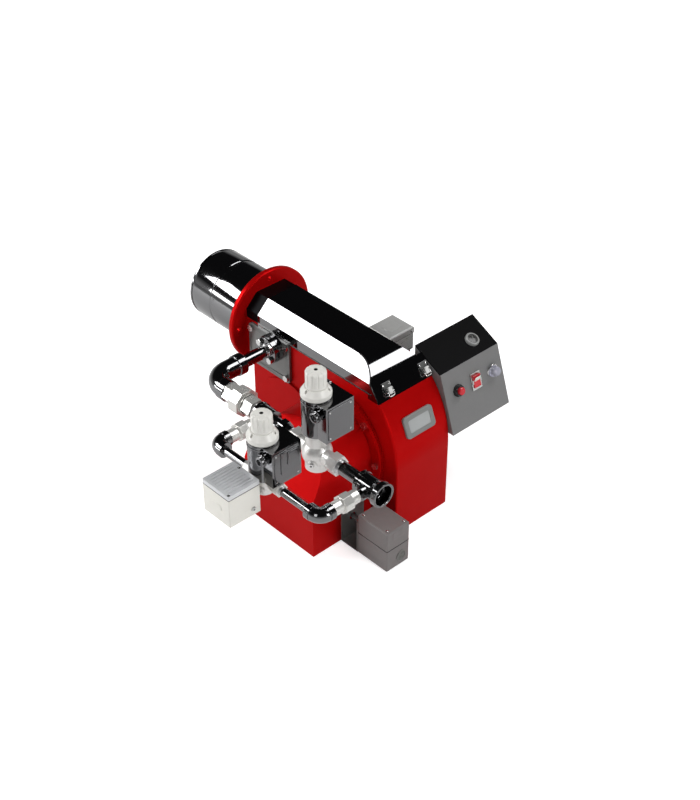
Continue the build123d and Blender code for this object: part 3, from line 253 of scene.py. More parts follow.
def dust_group():
    """Mixes in a pale film where the face looks up, broken by noise."""
    tree, start, end = new_group("dust", [
        ("Vector", "Vector", None), ("Colour", "Color", (0.5, 0.5, 0.5, 1)), ("Roughness", "Float", 0.4),
        ("Amount", "Float", 0.1)], [("Colour", "Color"), ("Roughness", "Float")])
    facing = tree.nodes.new("ShaderNodeNewGeometry")
    parts = tree.nodes.new("ShaderNodeSeparateXYZ")
    tree.links.new(facing.outputs["Normal"], parts.inputs[0])
    up = maths(tree, "MULTIPLY", maths(tree, "SUBTRACT", parts.outputs["Z"], 0.35, True), 1.6, True)
    patch = maths(tree, "MULTIPLY", noise(tree, start.outputs["Vector"], 35.0, 6.0), up)
    film = maths(tree, "MULTIPLY", patch, start.outputs["Amount"], True)
    colour = blend_colours(tree, film, start.outputs["Colour"], (0.42, 0.40, 0.37, 1))
    tree.links.new(colour, end.inputs["Colour"])
    dull = maths(tree, "ADD", start.outputs["Roughness"], maths(tree, "MULTIPLY", film, 0.5), True)
    tree.links.new(dull, end.inputs["Roughness"])
    return tree


GROUPS = {"cloudy": cloudy_group(), "skin": skin_group(), "dust": dust_group()}
print("shared effects:", ", ".join(GROUPS))

# %% [markdown]
# ## One recipe for the opaque finishes
# Paint, plating, cast metal and moulded plastic are all a Principled shader that reads the same
# three effects, with different numbers. Writing the recipe once keeps the finishes comparable:
# a new one is a line of numbers that can be read against its neighbours. A skin is four numbers:
# the relief's scale per metre, its share of fine grain, its depth in metres and its strength.

# %% Finish recipe
CAST = (420.0, 0.9, 0.00012, 0.45)
PEEL = (170.0, 0.15, 0.00004, 0.25)
MOULDED = (900.0, 0.6, 0.00003, 0.3)
POLISHED = (60.0, 0.03, 0.00001, 0.03)
FITTING_SKIN = (600.0, 0.6, 0.00006, 0.3)
PIPE_SKIN = (120.0, 0.1, 0.00003, 0.1)
COIL_SKIN = (220.0, 0.3, 0.00003, 0.12)
ZINC_SKIN = (700.0, 0.5, 0.00003, 0.25)
LOOKS = {}


def place_group(tree, name, **values):
    """Puts a shared effect into a material and sets or links its inputs."""
    node = tree.nodes.new("ShaderNodeGroup")
    node.node_tree = GROUPS[name]
    for label, value in values.items():
        if isinstance(value, (int, float, tuple)):
            node.inputs[label].default_value = value
        else:
            tree.links.new(value, node.inputs[label])
    return node


def finish(name, colour, rough, skin, metal=0.0, clouds=0.06, cloud_scale=12.0, dust=0.08,
           coat=0.0, coat_rough=0.05, gloss=0.5):
    """An opaque finish, kept in LOOKS: clouds, dust and skin feeding one Principled shader."""
    made = bpy.data.materials.new(name)
    made.use_nodes = True
    tree = made.node_tree
    shader = tree.nodes["Principled BSDF"]
    place = tree.nodes.new("ShaderNodeTexCoord").outputs["Object"]
    cloud = place_group(tree, "cloudy", Vector=place, Colour=(*colour, 1.0), Roughness=rough,
                        Amount=clouds, Scale=cloud_scale)
    film = place_group(tree, "dust", Vector=place, Colour=cloud.outputs["Colour"],
                       Roughness=cloud.outputs["Roughness"], Amount=dust)
    relief = place_group(tree, "skin", Vector=place, Scale=skin[0], Grain=skin[1], Depth=skin[2],
                         Strength=skin[3])
    tree.links.new(film.outputs["Colour"], shader.inputs["Base Color"])
    tree.links.new(film.outputs["Roughness"], shader.inputs["Roughness"])
    tree.links.new(relief.outputs["Normal"], shader.inputs["Normal"])
    shader.inputs["Metallic"].default_value = metal
    shader.inputs["Coat Weight"].default_value = coat
    shader.inputs["Coat Roughness"].default_value = coat_rough
    shader.inputs["Specular IOR Level"].default_value = gloss
    made.diffuse_color = (*colour, 1.0)
    LOOKS[name] = made
    return made


print("finish recipe ready")

# %% [markdown]
# ## Paints and dark plating
# The housing's red is a deep enamel. A clear coat would put white patches on it, so it is part
# metallic instead, which tints what it mirrors and keeps its highlights red. The hood, the tube
# and the pipes are nearly mirrors: a dark metal with low roughness shows black where it mirrors
# the dark and white where it mirrors a lamp. The upper panel is black too, but dull.

# %% Paints and plating
finish("red_paint", (0.47, 0.0028, 0.0032), 0.36, PEEL, metal=0.45, clouds=0.04, dust=0.0,
       gloss=0.02)
finish("black_gloss", (0.22, 0.22, 0.225), 0.05, POLISHED, metal=1.0, clouds=0.015, dust=0.0)
finish("panel_black", (0.003, 0.003, 0.0034), 0.40, MOULDED, clouds=0.04, dust=0.0, gloss=0.03)
finish("dark_chrome", (0.23, 0.23, 0.235), 0.07, POLISHED, metal=1.0, clouds=0.02, dust=0.0)
finish("black_pipe", (0.22, 0.22, 0.225), 0.10, PIPE_SKIN, metal=1.0, clouds=0.03, dust=0.0)
finish("coil_black", (0.21, 0.21, 0.215), 0.10, COIL_SKIN, metal=1.0, clouds=0.03, dust=0.0)
# panel_grey is painted reflection: its flat grey stands for the grey floor that the lower panel's dark
# gloss mirrors.
finish("panel_grey", (0.165, 0.165, 0.165), 0.42, PEEL, clouds=0.04, dust=0.04)
finish("motor_paint", (0.055, 0.06, 0.066), 0.36, CAST, clouds=0.08, dust=0.12)
print("paints and plating:", ", ".join(LOOKS))

# %% [markdown]
# ## Bare and cast metals
# The fittings are plated pale, the valve bodies are die cast, the screws are zinc plated, and
# the combustion head is steel that heat has browned. They differ in colour and in how coarse
# the skin is: cast metal keeps the grain of its mould, and plated metal has only a fine one.

# %% Metals
finish("cast_silver", (0.78, 0.77, 0.75), 0.36, CAST, metal=0.6, clouds=0.07, cloud_scale=30.0,
       dust=0.05)
finish("fitting_white", (0.74, 0.73, 0.70), 0.25, FITTING_SKIN, metal=0.6,
       cloud_scale=40.0, dust=0.04)
finish("grey_metal", (0.19, 0.195, 0.19), 0.30, PEEL, metal=0.6, clouds=0.08, dust=0.03)
finish("zinc", (0.74, 0.74, 0.73), 0.24, ZINC_SKIN, metal=1.0, clouds=0.08, cloud_scale=60.0,
       dust=0.0)
finish("steel", (0.50, 0.50, 0.51), 0.28, PEEL, metal=1.0, clouds=0.08, cloud_scale=50.0)
finish("heat_steel", (0.36, 0.32, 0.28), 0.38, PEEL, metal=1.0, clouds=0.16, cloud_scale=22.0)
finish("aluminium", (0.66, 0.67, 0.68), 0.36, CAST, metal=0.9, clouds=0.07)
finish("latch_bright", (0.86, 0.86, 0.85), 0.30, POLISHED, metal=0.3, clouds=0.04, dust=0.0)
print(len(LOOKS), "finishes with the metals")

# %% [markdown]
# ## Moulded plastics
# Boxes, caps, buttons and the drive are moulded. Their skin is fine and even, and a cream or grey
# plastic is duller than the buttons, which fingers keep polished. The red button and the glazed
# porcelain have a clear coat over their colour, which mirrors sharply while the colour stays.

# %% Plastics
finish("servo_grey", (0.175, 0.160, 0.158), 0.42, MOULDED, gloss=0.4)
finish("cream_plastic", (0.78, 0.765, 0.71), 0.38, MOULDED, clouds=0.03, dust=0.05)
finish("ribbed_grey", (0.70, 0.71, 0.73), 0.30, MOULDED, metal=0.3, clouds=0.07)
finish("box_grey", (0.48, 0.48, 0.47), 0.28, MOULDED, metal=0.25, dust=0.04)
finish("cap_cream", (0.76, 0.75, 0.71), 0.32, MOULDED, clouds=0.03, dust=0.03)
finish("bezel_grey", (0.20, 0.205, 0.20), 0.30, MOULDED, clouds=0.05)
finish("button_black", (0.010, 0.010, 0.011), 0.15, MOULDED, clouds=0.04)
finish("button_red", (0.55, 0.01, 0.02), 0.20, MOULDED, clouds=0.04, coat=0.3)
finish("porcelain", (0.86, 0.85, 0.81), 0.16, POLISHED, clouds=0.03, coat=0.4)
finish("transformer_black", (0.03, 0.03, 0.032), 0.4, MOULDED, dust=0.1)
print(len(LOOKS), "opaque finishes")

# %% [markdown]
# ## Painted shade at the neck
# The short neck between the hood's end and the flange is red, and a black band on it is painted
# shade: it stands for the dark that lies there under the hood's end. It could be two materials on
# two sets of faces, but the faces don't end where the shade does. So a mask does it: the red is
# mixed with black where the mask is 1, between two places along the burner's axis and above the
# joint. The edge is soft over a millimetre.

# %% Housing paint with painted shade on the neck
NECK_END_Y = -0.0125
NECK_FOOT_Z = 0.024
SHADE_EDGE = 0.001


def band_mask(tree, value, low, high, soft):
    """1 between low and high, falling to 0 over soft: the lesser of two clamped ramps."""
    up = maths(tree, "DIVIDE", maths(tree, "SUBTRACT", value, low), soft, True)
    down = maths(tree, "DIVIDE", maths(tree, "SUBTRACT", high, value), soft, True)
    return maths(tree, "MINIMUM", up, down)


def red_with_painted_neck_shade():
    """The red paint with painted shade on its neck: black between the hood's end and the flange."""
    made = LOOKS["red_paint"].copy()
    made.name = "housing_red"
    tree = made.node_tree
    shader = tree.nodes["Principled BSDF"]
    parts = tree.nodes.new("ShaderNodeSeparateXYZ")
    tree.links.new(tree.nodes.new("ShaderNodeTexCoord").outputs["Object"], parts.inputs[0])
    hood_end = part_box("top_cover")[1][1]
    along = band_mask(tree, parts.outputs["Y"], hood_end, NECK_END_Y, SHADE_EDGE)
    above = band_mask(tree, parts.outputs["Z"], NECK_FOOT_Z, 1.0, SHADE_EDGE)
    mask = maths(tree, "MULTIPLY", along, above)
    red = shader.inputs["Base Color"].links[0].from_socket
    # Painted shade: the neck is mixed to black where it lies in shade under the hood's end.
    both = blend_colours(tree, mask, red, (0.004, 0.004, 0.0045, 1))
    tree.links.new(both, shader.inputs["Base Color"])
    return made


LOOKS["housing_red"] = red_with_painted_neck_shade()
print("housing paint masked at the neck")

# %% [markdown]
# ## Finishes that light goes through
# The sight window on the front is a slightly milky pane, and the lamp's lens has a violet tint.
# One Principled shader does both: it transmits only a share of the light, about a third in the
# pane and half in the lens, and the rest is its own colour.

# %% Clear finishes
def clear_finish(name, tint, rough, weight, ior):
    """A see-through finish whose roughness drifts a little over the surface."""
    made = bpy.data.materials.new(name)
    made.use_nodes = True
    tree = made.node_tree
    shader = tree.nodes["Principled BSDF"]
    place = tree.nodes.new("ShaderNodeTexCoord").outputs["Object"]
    cloud = place_group(tree, "cloudy", Vector=place, Colour=(*tint, 1.0), Roughness=rough, Amount=0.03,
                        Scale=60.0)
    tree.links.new(cloud.outputs["Colour"], shader.inputs["Base Color"])
    tree.links.new(cloud.outputs["Roughness"], shader.inputs["Roughness"])
    shader.inputs["Transmission Weight"].default_value = weight
    shader.inputs["IOR"].default_value = ior
    made.diffuse_color = (*tint, 0.6)
    return made


LOOKS["glass"] = clear_finish("glass", (0.55, 0.57, 0.57), 0.12, 0.35, 1.45)
LOOKS["lens_clear"] = clear_finish("lens_clear", (0.66, 0.66, 0.78), 0.16, 0.55, 1.46)
print("clear finishes: glass, lens_clear")

# %% [markdown]
# ## Give every solid its finish
# The record names a slot for each node. Most solids take the look with the slot's name. The
# upper panel is duller than the hood, though both are black, the latches are brighter than other
# plated pieces, and the valves' collars are moulded, as their caps are.

# %% Assign finishes
SPECIAL = {
    "panel_upper": "panel_black", "rocker_bezel": "zinc", "gauge_bezel": "bezel_grey",
    "latch_hook_left": "latch_bright", "latch_hook_right": "latch_bright",
    "valve1_collar": "cap_cream", "valve2_collar": "cap_cream", "scroll_housing": "housing_red"}


def dress(piece, look):
    """Gives a piece one finish in its first material slot."""
    piece.data.materials.clear()
    piece.data.materials.append(LOOKS[look])


for row in frame["record"]["subparts"]:
    dress(nodes[row["node"]], SPECIAL.get(row["node"], row["material_slot"]))

# %% [markdown]
# ## The studio lamps
# The gloss of this object is mostly what it mirrors, so the studio matters as much as the
# finishes. It could be lit by an image of a room, but a few soft boxes can each be aimed at one
# face. One up at the back left whitens the hood's bevel and draws the streaks on the tube and
# pipes, and a low one beside it carries them on. One overhead whitens the hood's front bend. Two
# in front fill the red and the panels. Everywhere else a mirror sees dark.

# %% Lamps
HEART = Vector((-0.10, -0.28, -0.06))


def soft_box(name, toward, distance, size, power, turn=0.0):
    """An area lamp at a direction from the burner's middle, aimed at it."""
    data = bpy.data.lights.new(name, "AREA")
    data.shape = "RECTANGLE"
    data.size, data.size_y = size
    data.energy = power
    lamp = bpy.data.objects.new(name, data)
    away = Vector(toward).normalized()
    lamp.location = HEART + away * distance
    lamp.rotation_euler = (-away).to_track_quat("-Z", "Y").to_euler()
    lamp.rotation_euler.rotate_axis("Z", turn)
    scene.collection.objects.link(lamp)
    return lamp


soft_box("back_left", (-0.56, 0.63, 0.54), 2.6, (1.15, 0.75), 34)
soft_box("overhead", (0.52, -0.30, 0.78), 2.4, (1.0, 1.3), 20.5, math.radians(10))
soft_box("front_left", (-0.95, -0.35, 0.55), 2.8, (0.7, 1.3), 7.5)
soft_box("front", (0.10, -1.0, 0.35), 3.0, (0.40, 1.2), 27)
soft_box("low_left", (-0.77, 0.63, 0.14), 2.6, (1.0, 0.30), 9)
print("five soft boxes")

# %% [markdown]
# ## The world around it
# A product picture has a white ground, but a white room would turn every black mirror grey. So
# the world answers by the kind of ray: white where the camera looks or looks through glass, soft
# grey as light, and to mirrors grey low down and nearly black above.

# %% World
DARK_FROM = 0.08
DARK_RATE = 5.0


def world_light():
    """The world's colour, chosen by the kind of ray and, for mirrors, by how far up it looks."""
    world = bpy.data.worlds.new("studio")
    world.use_nodes = True
    tree = world.node_tree
    back = tree.nodes["Background"]
    path = tree.nodes.new("ShaderNodeLightPath")
    parts = tree.nodes.new("ShaderNodeSeparateXYZ")
    tree.links.new(tree.nodes.new("ShaderNodeTexCoord").outputs["Generated"], parts.inputs[0])
    rise = maths(tree, "SUBTRACT", parts.outputs["Z"], DARK_FROM)
    high = maths(tree, "MULTIPLY", rise, DARK_RATE, True)
    mirrored = blend_colours(tree, high, (0.40, 0.40, 0.40, 1), (0.012, 0.012, 0.013, 1))
    lit = blend_colours(tree, path.outputs["Is Glossy Ray"], (0.31, 0.31, 0.31, 1), mirrored)
    seen = maths(tree, "MAXIMUM", path.outputs["Is Camera Ray"],
                 path.outputs["Is Transmission Ray"])
    tree.links.new(blend_colours(tree, seen, lit, (1, 1, 1, 1)), back.inputs["Color"])
    scene.world = world


world_light()
print("world set")

# %% [markdown]
# ## The floor
# The burner stands on a pale sheet. Its glow is seen by the camera alone, so it lights nothing,
# and it is weak enough under the burner that a soft shadow shows. Away from the burner the lamps
# fall off, so there the glow rises until the sheet is white up to the horizon.

# %% Floor
FLOOR_HALF = 40.0
GLOW_NEAR = 0.60
GLOW_RISE = 0.40


def floor_sheet():
    """A pale sheet, white to the camera but for the shadow; its glow rises with distance."""
    low, r = cad_box[0][2] - 0.0005, FLOOR_HALF
    mesh = bpy.data.meshes.new("floor")
    corners = [(-r, -r, low), (r, -r, low), (r, r, low), (-r, r, low)]
    mesh.from_pydata(corners, [], [(0, 1, 2, 3)])
    floor = bpy.data.objects.new("floor", mesh)
    scene.collection.objects.link(floor)
    made = bpy.data.materials.new("floor_pale")
    made.use_nodes = True
    tree = made.node_tree
    shader = tree.nodes["Principled BSDF"]
    shader.inputs["Base Color"].default_value = (0.86, 0.86, 0.86, 1)
    shader.inputs["Roughness"].default_value = 0.9
    shader.inputs["Specular IOR Level"].default_value = 0.1
    shader.inputs["Emission Color"].default_value = (1, 1, 1, 1)
    path = tree.nodes.new("ShaderNodeLightPath")
    reach = tree.nodes.new("ShaderNodeVectorMath")
    reach.operation = "LENGTH"
    tree.links.new(tree.nodes.new("ShaderNodeTexCoord").outputs["Object"], reach.inputs[0])
    far = maths(tree, "SUBTRACT", reach.outputs["Value"], 1.0, True)
    glow = maths(tree, "ADD", maths(tree, "MULTIPLY", far, GLOW_RISE), GLOW_NEAR)
    seen = maths(tree, "MULTIPLY", path.outputs["Is Camera Ray"], glow)
    tree.links.new(seen, shader.inputs["Emission Strength"])
    mesh.materials.append(made)
    return floor


floor_sheet()
print("floor laid at", round(cad_box[0][2], 4))

# %% [markdown]
# ## Shapes worked out as arrays
# A turned piece is a profile carried round an axis, and a moulded plate is a rounded rectangle
# drawn in as it rises. Both are a grid of points over two parameters, so each is one numpy
# expression, and one helper turns any such grid into a mesh. Points that fall together at a pole
# are merged there, which closes the shape before its normals are worked out.

# %% Grids into meshes
X, Y, Z = np.eye(3)
MERGE_WITHIN = 0.000002


def cross_axes(direction):
    """Two unit vectors square to a direction and to each other, then the direction."""
    w = np.array(direction, float) / np.linalg.norm(direction)
    side = np.array([0.0, 0.0, 1.0]) if abs(w[2]) < 0.9 else np.array([1.0, 0.0, 0.0])
    u = np.cross(side, w)
    u /= np.linalg.norm(u)
    return u, np.cross(w, u), w


def grid_faces(rows, columns, wrap_rows):
    """Quads between neighbours of a grid whose columns close on themselves."""
    r = np.arange(rows if wrap_rows else rows - 1)[:, None]
    c = np.arange(columns)[None, :]
    a, b = r * columns + c, r * columns + (c + 1) % columns
    up = ((r + 1) % rows) * columns
    return np.stack([a, b, up + (c + 1) % columns, up + c], -1).reshape(-1, 4)


def put(name, grids, body, look, slot=None, sharp=35, wrap_rows=False):
    """One mesh piece from (rows, columns, 3) point grids; the slot argument is not used."""
    points, faces, count = [], [], 0
    for grid in grids:
        faces.append(grid_faces(grid.shape[0], grid.shape[1], wrap_rows) + count)
        points.append(grid.reshape(-1, 3))
        count += points[-1].shape[0]
    mesh = bpy.data.meshes.new(name)
    mesh.from_pydata(np.concatenate(points).tolist(), [], np.concatenate(faces).tolist())
    shape = bmesh.new()
    shape.from_mesh(mesh)
    bmesh.ops.remove_doubles(shape, verts=shape.verts, dist=MERGE_WITHIN)
    bmesh.ops.recalc_face_normals(shape, faces=shape.faces)
    shape.to_mesh(mesh)
    shape.free()
    mesh.shade_smooth()
    mesh.set_sharp_from_angle(angle=math.radians(sharp))
    piece = bpy.data.objects.new(name, mesh)
    scene.collection.objects.link(piece)
    dress(piece, look)
    slot = slot or look
    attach(piece, body)
    return piece


def middle(node):
    """The centre of a node's box, as an array."""
    low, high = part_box(node)
    return (np.array(low) + np.array(high)) / 2


print("grid helpers ready")

# %% [markdown]
# ## Turned shapes and rounded plates
# Most small pieces of a burner are one of two forms. Glands, bosses and rings are turned, and
# seals, ribs and covers are flat with rounded corners. Both helpers return a grid, so several
# can be joined into one piece.

# %% Turned shapes and plates
def lathe(at, direction, profile, steps=64, ripple=None):
    """Point = centre + r·(cos a·u + sin a·v) + h·w for each (r, h); ripple(a, r, h) is added to r."""
    u, v, w = cross_axes(direction)
    r, h = np.array(profile, float).T
    a = np.linspace(0, 2 * np.pi, steps, endpoint=False)
    radius = np.repeat(r[:, None], steps, 1)
    if ripple is not None:
        radius = radius + ripple(a[None, :], r[:, None], h[:, None])
    ring = radius[..., None] * (np.cos(a)[:, None] * u + np.sin(a)[:, None] * v)[None]
    return np.array(at, float) + ring + h[:, None, None] * w


def plate(at, u, w, size, corner, thick, edge, arc=5):
    """A rounded rectangle: corner centres + (corner - inset)·(cos t, sin t), drawn in at the rim."""
    u, w = np.array(u, float), np.array(w, float)
    v = np.cross(w, u)
    t = np.concatenate([np.linspace(q, q + np.pi / 2, arc) for q in np.arange(4) * np.pi / 2])
    sx = np.repeat([1, -1, -1, 1], arc) * (size[0] / 2 - corner)
    sy = np.repeat([1, 1, -1, -1], arc) * (size[1] / 2 - corner)
    bow = np.linspace(0, np.pi / 2, 4)
    inset = np.concatenate([[0], edge * (1 - np.cos(bow)), [corner]])
    rise = np.concatenate([[0], thick - edge + edge * np.sin(bow), [thick]])
    r = (corner - inset)[:, None]
    x, y = sx + r * np.cos(t), sy + r * np.sin(t)
    x, y = np.vstack([x[:1] * 0, x, x[-1:] * 0]), np.vstack([y[:1] * 0, y, y[-1:] * 0])
    rise = np.concatenate([[0], rise, [thick]])[:, None, None]
    return np.array(at, float) + x[..., None] * u + y[..., None] * v + rise * w


print("lathe and plate ready")

# %% [markdown]
# ## Adjusting caps of the valves
# Each valve's flow is set with a moulded cap, and fingers need grip, so its wall is grooved. The
# grooves are a cosine raised to a power and taken off the radius: the power narrows each one and
# leaves the wall between them round. Its domed top is divided by fine ribs, and a low dark disc
# in the middle is painted shade, which stands for the dark inside the screwdriver's hole.

# %% Valve caps
GROOVES = 12
GROOVE_DEPTH = 0.0015
CAP_BORE = 0.0083
CAP_INSET = 0.0004


def fluted_cap(node, name, body):
    """A grooved wall, r - depth·max(0, cos(12 a))⁴, under a domed top, r·√cos q out at sin q up."""
    low, high = np.array(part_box(node))
    centre, r, tall = middle(node), (high[0] - low[0]) / 2, high[2] - low[2]
    wall = r - CAP_INSET
    bore = [(CAP_BORE, 0.0), (r - 0.0012, 0.0)]
    side = [(wall, 0.0), (wall, 0.0035)]
    side += [(wall, 0.004 + (tall - 0.009) * s) for s in np.linspace(0, 1, 9)]
    dome = [(r * math.cos(q) ** 0.5 - CAP_INSET, tall - 0.0042 + 0.0040 * math.sin(q))
            for q in np.linspace(0.15, 1.50, 9)]

    def groove(a, rr, h):
        mid = np.clip((h - 0.003) / 0.003, 0, 1) * (rr > 0.6 * r)
        return -GROOVE_DEPTH * mid * np.maximum(np.cos(GROOVES * a), 0) ** 4

    profile = bore + side + dome + [(0.0, tall - 0.0002)]
    put(name, [lathe((centre[0], centre[1], low[2]), Z, profile, 240, groove)], body, "cap_cream")
    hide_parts(node)
    top = np.array((centre[0], centre[1], high[2] - 0.0012))
    spokes = [math.cos(q) * X + math.sin(q) * Y for q in np.arange(12) * math.pi / 6]
    ribs = [plate(top + 0.5 * r * spoke, spoke, Z, (r * 0.62, 0.0011), 0.0005, 0.0013, 0.0003)
            for spoke in spokes]
    put(name + "_ribs", ribs, body, "cap_cream")
    hole = lathe(top, Z, [(0, 0), (0.0036, 0), (0.0036, 0.0011), (0.0024, 0.0013), (0, 0.0013)],
                 32)
    # Painted shade: a black disc stands for the dark inside the screwdriver's hole.
    put(name + "_slot", [hole], body, "button_black")


fluted_cap("valve1_cap", "cap_fluted_1", "cap_1")
fluted_cap("valve2_cap", "cap_fluted_2", "cap_2")
print("two grooved caps")

# %% [markdown]
# ## Small screws
# Covers, collars and boxes are held by small cross-head screws. A head is a shallow dome with a
# cross sunk into it, worked out on a polar grid, and each group of them is one piece. Those in
# the collars sit in deep recesses, and their black is painted shade of those recesses.

# %% Screws in the collars
def cross_head(at, direction, r, high):
    """A domed screw head: height falls with the square of radius, and a cross is sunk in it."""
    u, v, w = cross_axes(direction)
    a = np.linspace(0, 2 * np.pi, 48, endpoint=False)[None, :]
    s = np.concatenate([[1.0], np.linspace(1.0, 0.0, 12)])[:, None]
    h = high * (1 - 0.45 * s ** 2) + 0 * a
    x, y = np.abs(s * np.cos(a)), np.abs(s * np.sin(a))
    h = np.where((np.minimum(x, y) < 0.12) & (s < 0.6), h - 0.45 * high, h)
    h[0] = 0.0
    ring = (r * s)[..., None] * (np.cos(a)[..., None] * u + np.sin(a)[..., None] * v)
    return np.array(at, float) + ring + h[..., None] * w


def collar_screws(node):
    """Three heads sunk in a collar's slope, a third of a turn apart."""
    low, high = np.array(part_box(node))
    centre = middle(node)
    r = (high[0] - low[0]) / 2 - 0.0055
    rise = low[2] + 0.0082
    return [cross_head((centre[0] + r * math.cos(q), centre[1] + r * math.sin(q), rise), Z,
                       0.0024, 0.0022) for q in np.radians([-60.0, 60.0, 180.0])]


heads = collar_screws("valve1_collar") + collar_screws("valve2_collar")
# The collar screws' black is painted shade of their deep recesses.
put("collar_screws", heads, "burner", "button_black")
print(len(heads), "screws in the collars")

# %% [markdown]
# ## Screws of the boxes and the drive
# The gas switch's lid has two screws at opposite corners, the drive has four on its top, and the
# air switch has two on the front of its lid. Each place is the lid's own corner less a margin.

# %% Screws in the boxes and the drive
def box_screws():
    """Two heads on the gas switch, four on the drive and two on the air switch."""
    low, high = np.array(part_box("gas_switch_lid"))
    corners = ((high[0] - 0.005, high[1] - 0.022), (low[0] + 0.0035, low[1] + 0.0035))
    out = [cross_head((x, y, high[2] - 0.0001), Z, 0.0030, 0.0014) for x, y in corners]
    low, high = np.array(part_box("servo_cover"))
    out += [cross_head((x, y, high[2] - 0.0001), Z, 0.0026, 0.0013)
            for x in (low[0] + 0.008, high[0] - 0.008) for y in (low[1] + 0.009, high[1] - 0.009)]
    low, high = np.array(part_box("air_switch_lid"))
    out += [cross_head((x, low[1] + 0.0001, low[2] + 0.006), -Y, 0.0028, 0.0013)
            for x in (low[0] + 0.008, high[0] - 0.008)]
    return out


heads = box_screws()
put("box_screws", heads, "burner", "zinc")
print(len(heads), "screws in the boxes and the drive")

# %% [markdown]
# ## The coils' connectors and cover plates
# A solenoid coil is moulded in glossy plastic. Its cable enters through a ribbed gland on the
# left, a plate held by four screws closes the terminal box at the front, and an earth tag stands
# at the box's top corner. The first coil's plate is plain. The second's has raised steps, which
# are three rounded plates, one on the other.

# %% Coil details
finish("coil_face", (0.19, 0.19, 0.195), 0.18, MOULDED, metal=1.0, clouds=0.03, dust=0.0)
GLAND = [(0, 0), (0.0085, 0), (0.0102, 0.0008), (0.0102, 0.0062), (0.0090, 0.0072),
         (0.0062, 0.0074), (0.0058, 0.0040), (0, 0.0040)]
GLAND_SEAL = [(0, 0), (0.0112, 0), (0.0116, 0.0004), (0.0116, 0.0018), (0.0112, 0.0022),
              (0, 0.0022)]
BAND = [(0.0272, 0), (0.0287, 0.0004), (0.0289, 0.0012), (0.0289, 0.0036), (0.0287, 0.0044),
        (0.0272, 0.0048)]
PLATE_WIDE = 0.058


def coil_details(node, name, levels):
    """Gland, stepped plate, screws, earth tag and band for one coil, in its own proportions."""
    low, high = np.array(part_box(node))
    shaft = middle(node.replace("coil", "cap"))
    at = np.array((shaft[0] - 0.0265, shaft[1] - 0.026, high[2] - 0.022))
    gland = lathe(at + X * 0.0020, -X, GLAND, 96,
                  lambda a, r, h: 0.0003 * (r > 0.0095) * np.cos(24 * a))
    put(name + "_gland", [gland, lathe(at + X * 0.0035, -X, GLAND_SEAL, 64)], "burner",
        "coil_black")
    front = np.array((shaft[0] + 0.0155, low[1], (low[2] + high[2]) / 2))
    tall = high[2] - low[2]
    steps = [plate(front + Z * 0.007 * k + X * 0.006 * k - Y * 0.0001, -X, -Y,
                   (PLATE_WIDE - 0.016 * k, tall * (0.86 - 0.25 * k)), 0.003,
                   0.0012 + 0.0016 * k, 0.0006) for k in range(levels)]
    put(name + "_plate", steps, "burner", "coil_face", "coil_black")
    corners = [(s * PLATE_WIDE * 0.43) * X + (q * tall * 0.37) * Z
               for s in (-1, 1) for q in (-1, 1)]
    put(name + "_plate_screws",
        [cross_head(front + corner - Y * 0.001, -Y, 0.0019, 0.0009) for corner in corners],
        "burner", "zinc")
    tag = plate((high[0] - 0.005, high[1] - 0.010, high[2] - 0.0012), X, Z, (0.008, 0.013),
                0.0018, 0.0026, 0.0006)
    put(name + "_tag", [tag], "burner", "zinc")
    band = lathe((shaft[0], shaft[1], high[2] - 0.0105), Z, BAND, 96)
    put(name + "_band", [band], "burner", "coil_black", wrap_rows=True)


coil_details("valve1_coil", "coil_1", 1)
coil_details("valve2_coil", "coil_2", 3)
print("two coils dressed")

# %% [markdown]
# ## Threads on the pipe ends
# A gas pipe is screwed into its fitting, and a few turns of its thread stay in sight. Plain rings
# would look much the same from afar, but a thread is a ridge that climbs one pitch each turn. On
# the grid, that is a triangle wave of the height along the pipe less the angle round it.

# %% Pipe threads
MAIN_PIPE_R, MAIN_PITCH = 0.01345, 0.0018
SMALL_PIPE_R, SMALL_PITCH = 0.0086, 0.0013
ENTRY = 0.002


def thread(at, direction, r, length, pitch):
    """r + depth·triangle(h / pitch - a / 2π): a ridge that climbs one pitch each turn, closed inside."""
    u, v, w = cross_axes(direction)
    a = np.linspace(0, 2 * np.pi, 40, endpoint=False)[None, :]
    h = np.linspace(0, length, int(length / pitch * 8) + 1)[:, None]
    phase = (h / pitch - a / (2 * np.pi)) % 1.0
    ends = np.minimum(1, np.minimum(h, length - h) / pitch)
    radius = r + 0.42 * pitch * ends * (1 - np.abs(2 * phase - 1))
    radius = np.vstack([radius, np.full((2, 40), r - 0.0006)])
    h = np.vstack([h, [[length], [0.0]]])
    ring = radius[..., None] * (np.cos(a)[..., None] * u + np.sin(a)[..., None] * v)
    return np.array(at, float) + ring + h[..., None] * w


def pipe_threads():
    """Short threads where the pipes enter the fittings, as grids on the two sizes of pipe."""
    line, small, plate_side = middle("union_nut"), middle("valve2_body"), middle("gas_flanges")
    body, small_body = np.array(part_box("valve1_body")), np.array(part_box("valve2_body"))
    z, out = line[2], []
    for y, way in ((body[0][1], -1), (body[1][1], 1), (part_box("union_ends")[0][1], -1)):
        out.append(thread((line[0], y - ENTRY * way, z), way * Y, MAIN_PIPE_R, 0.010, MAIN_PITCH))
    for y, way in ((small_body[0][1], -1), (small_body[1][1], 1)):
        out.append(thread((small[0], y - ENTRY * way, z), way * Y, SMALL_PIPE_R, 0.007,
                          SMALL_PITCH))
    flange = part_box("gas_flanges")[0][0]
    out.append(thread((flange + ENTRY, plate_side[1], z), -X, MAIN_PIPE_R, 0.008, MAIN_PITCH))
    return out


put("pipe_threads", pipe_threads(), "burner", "steel", sharp=60)
print("threads in sight at", len(pipe_threads()), "pipe ends")

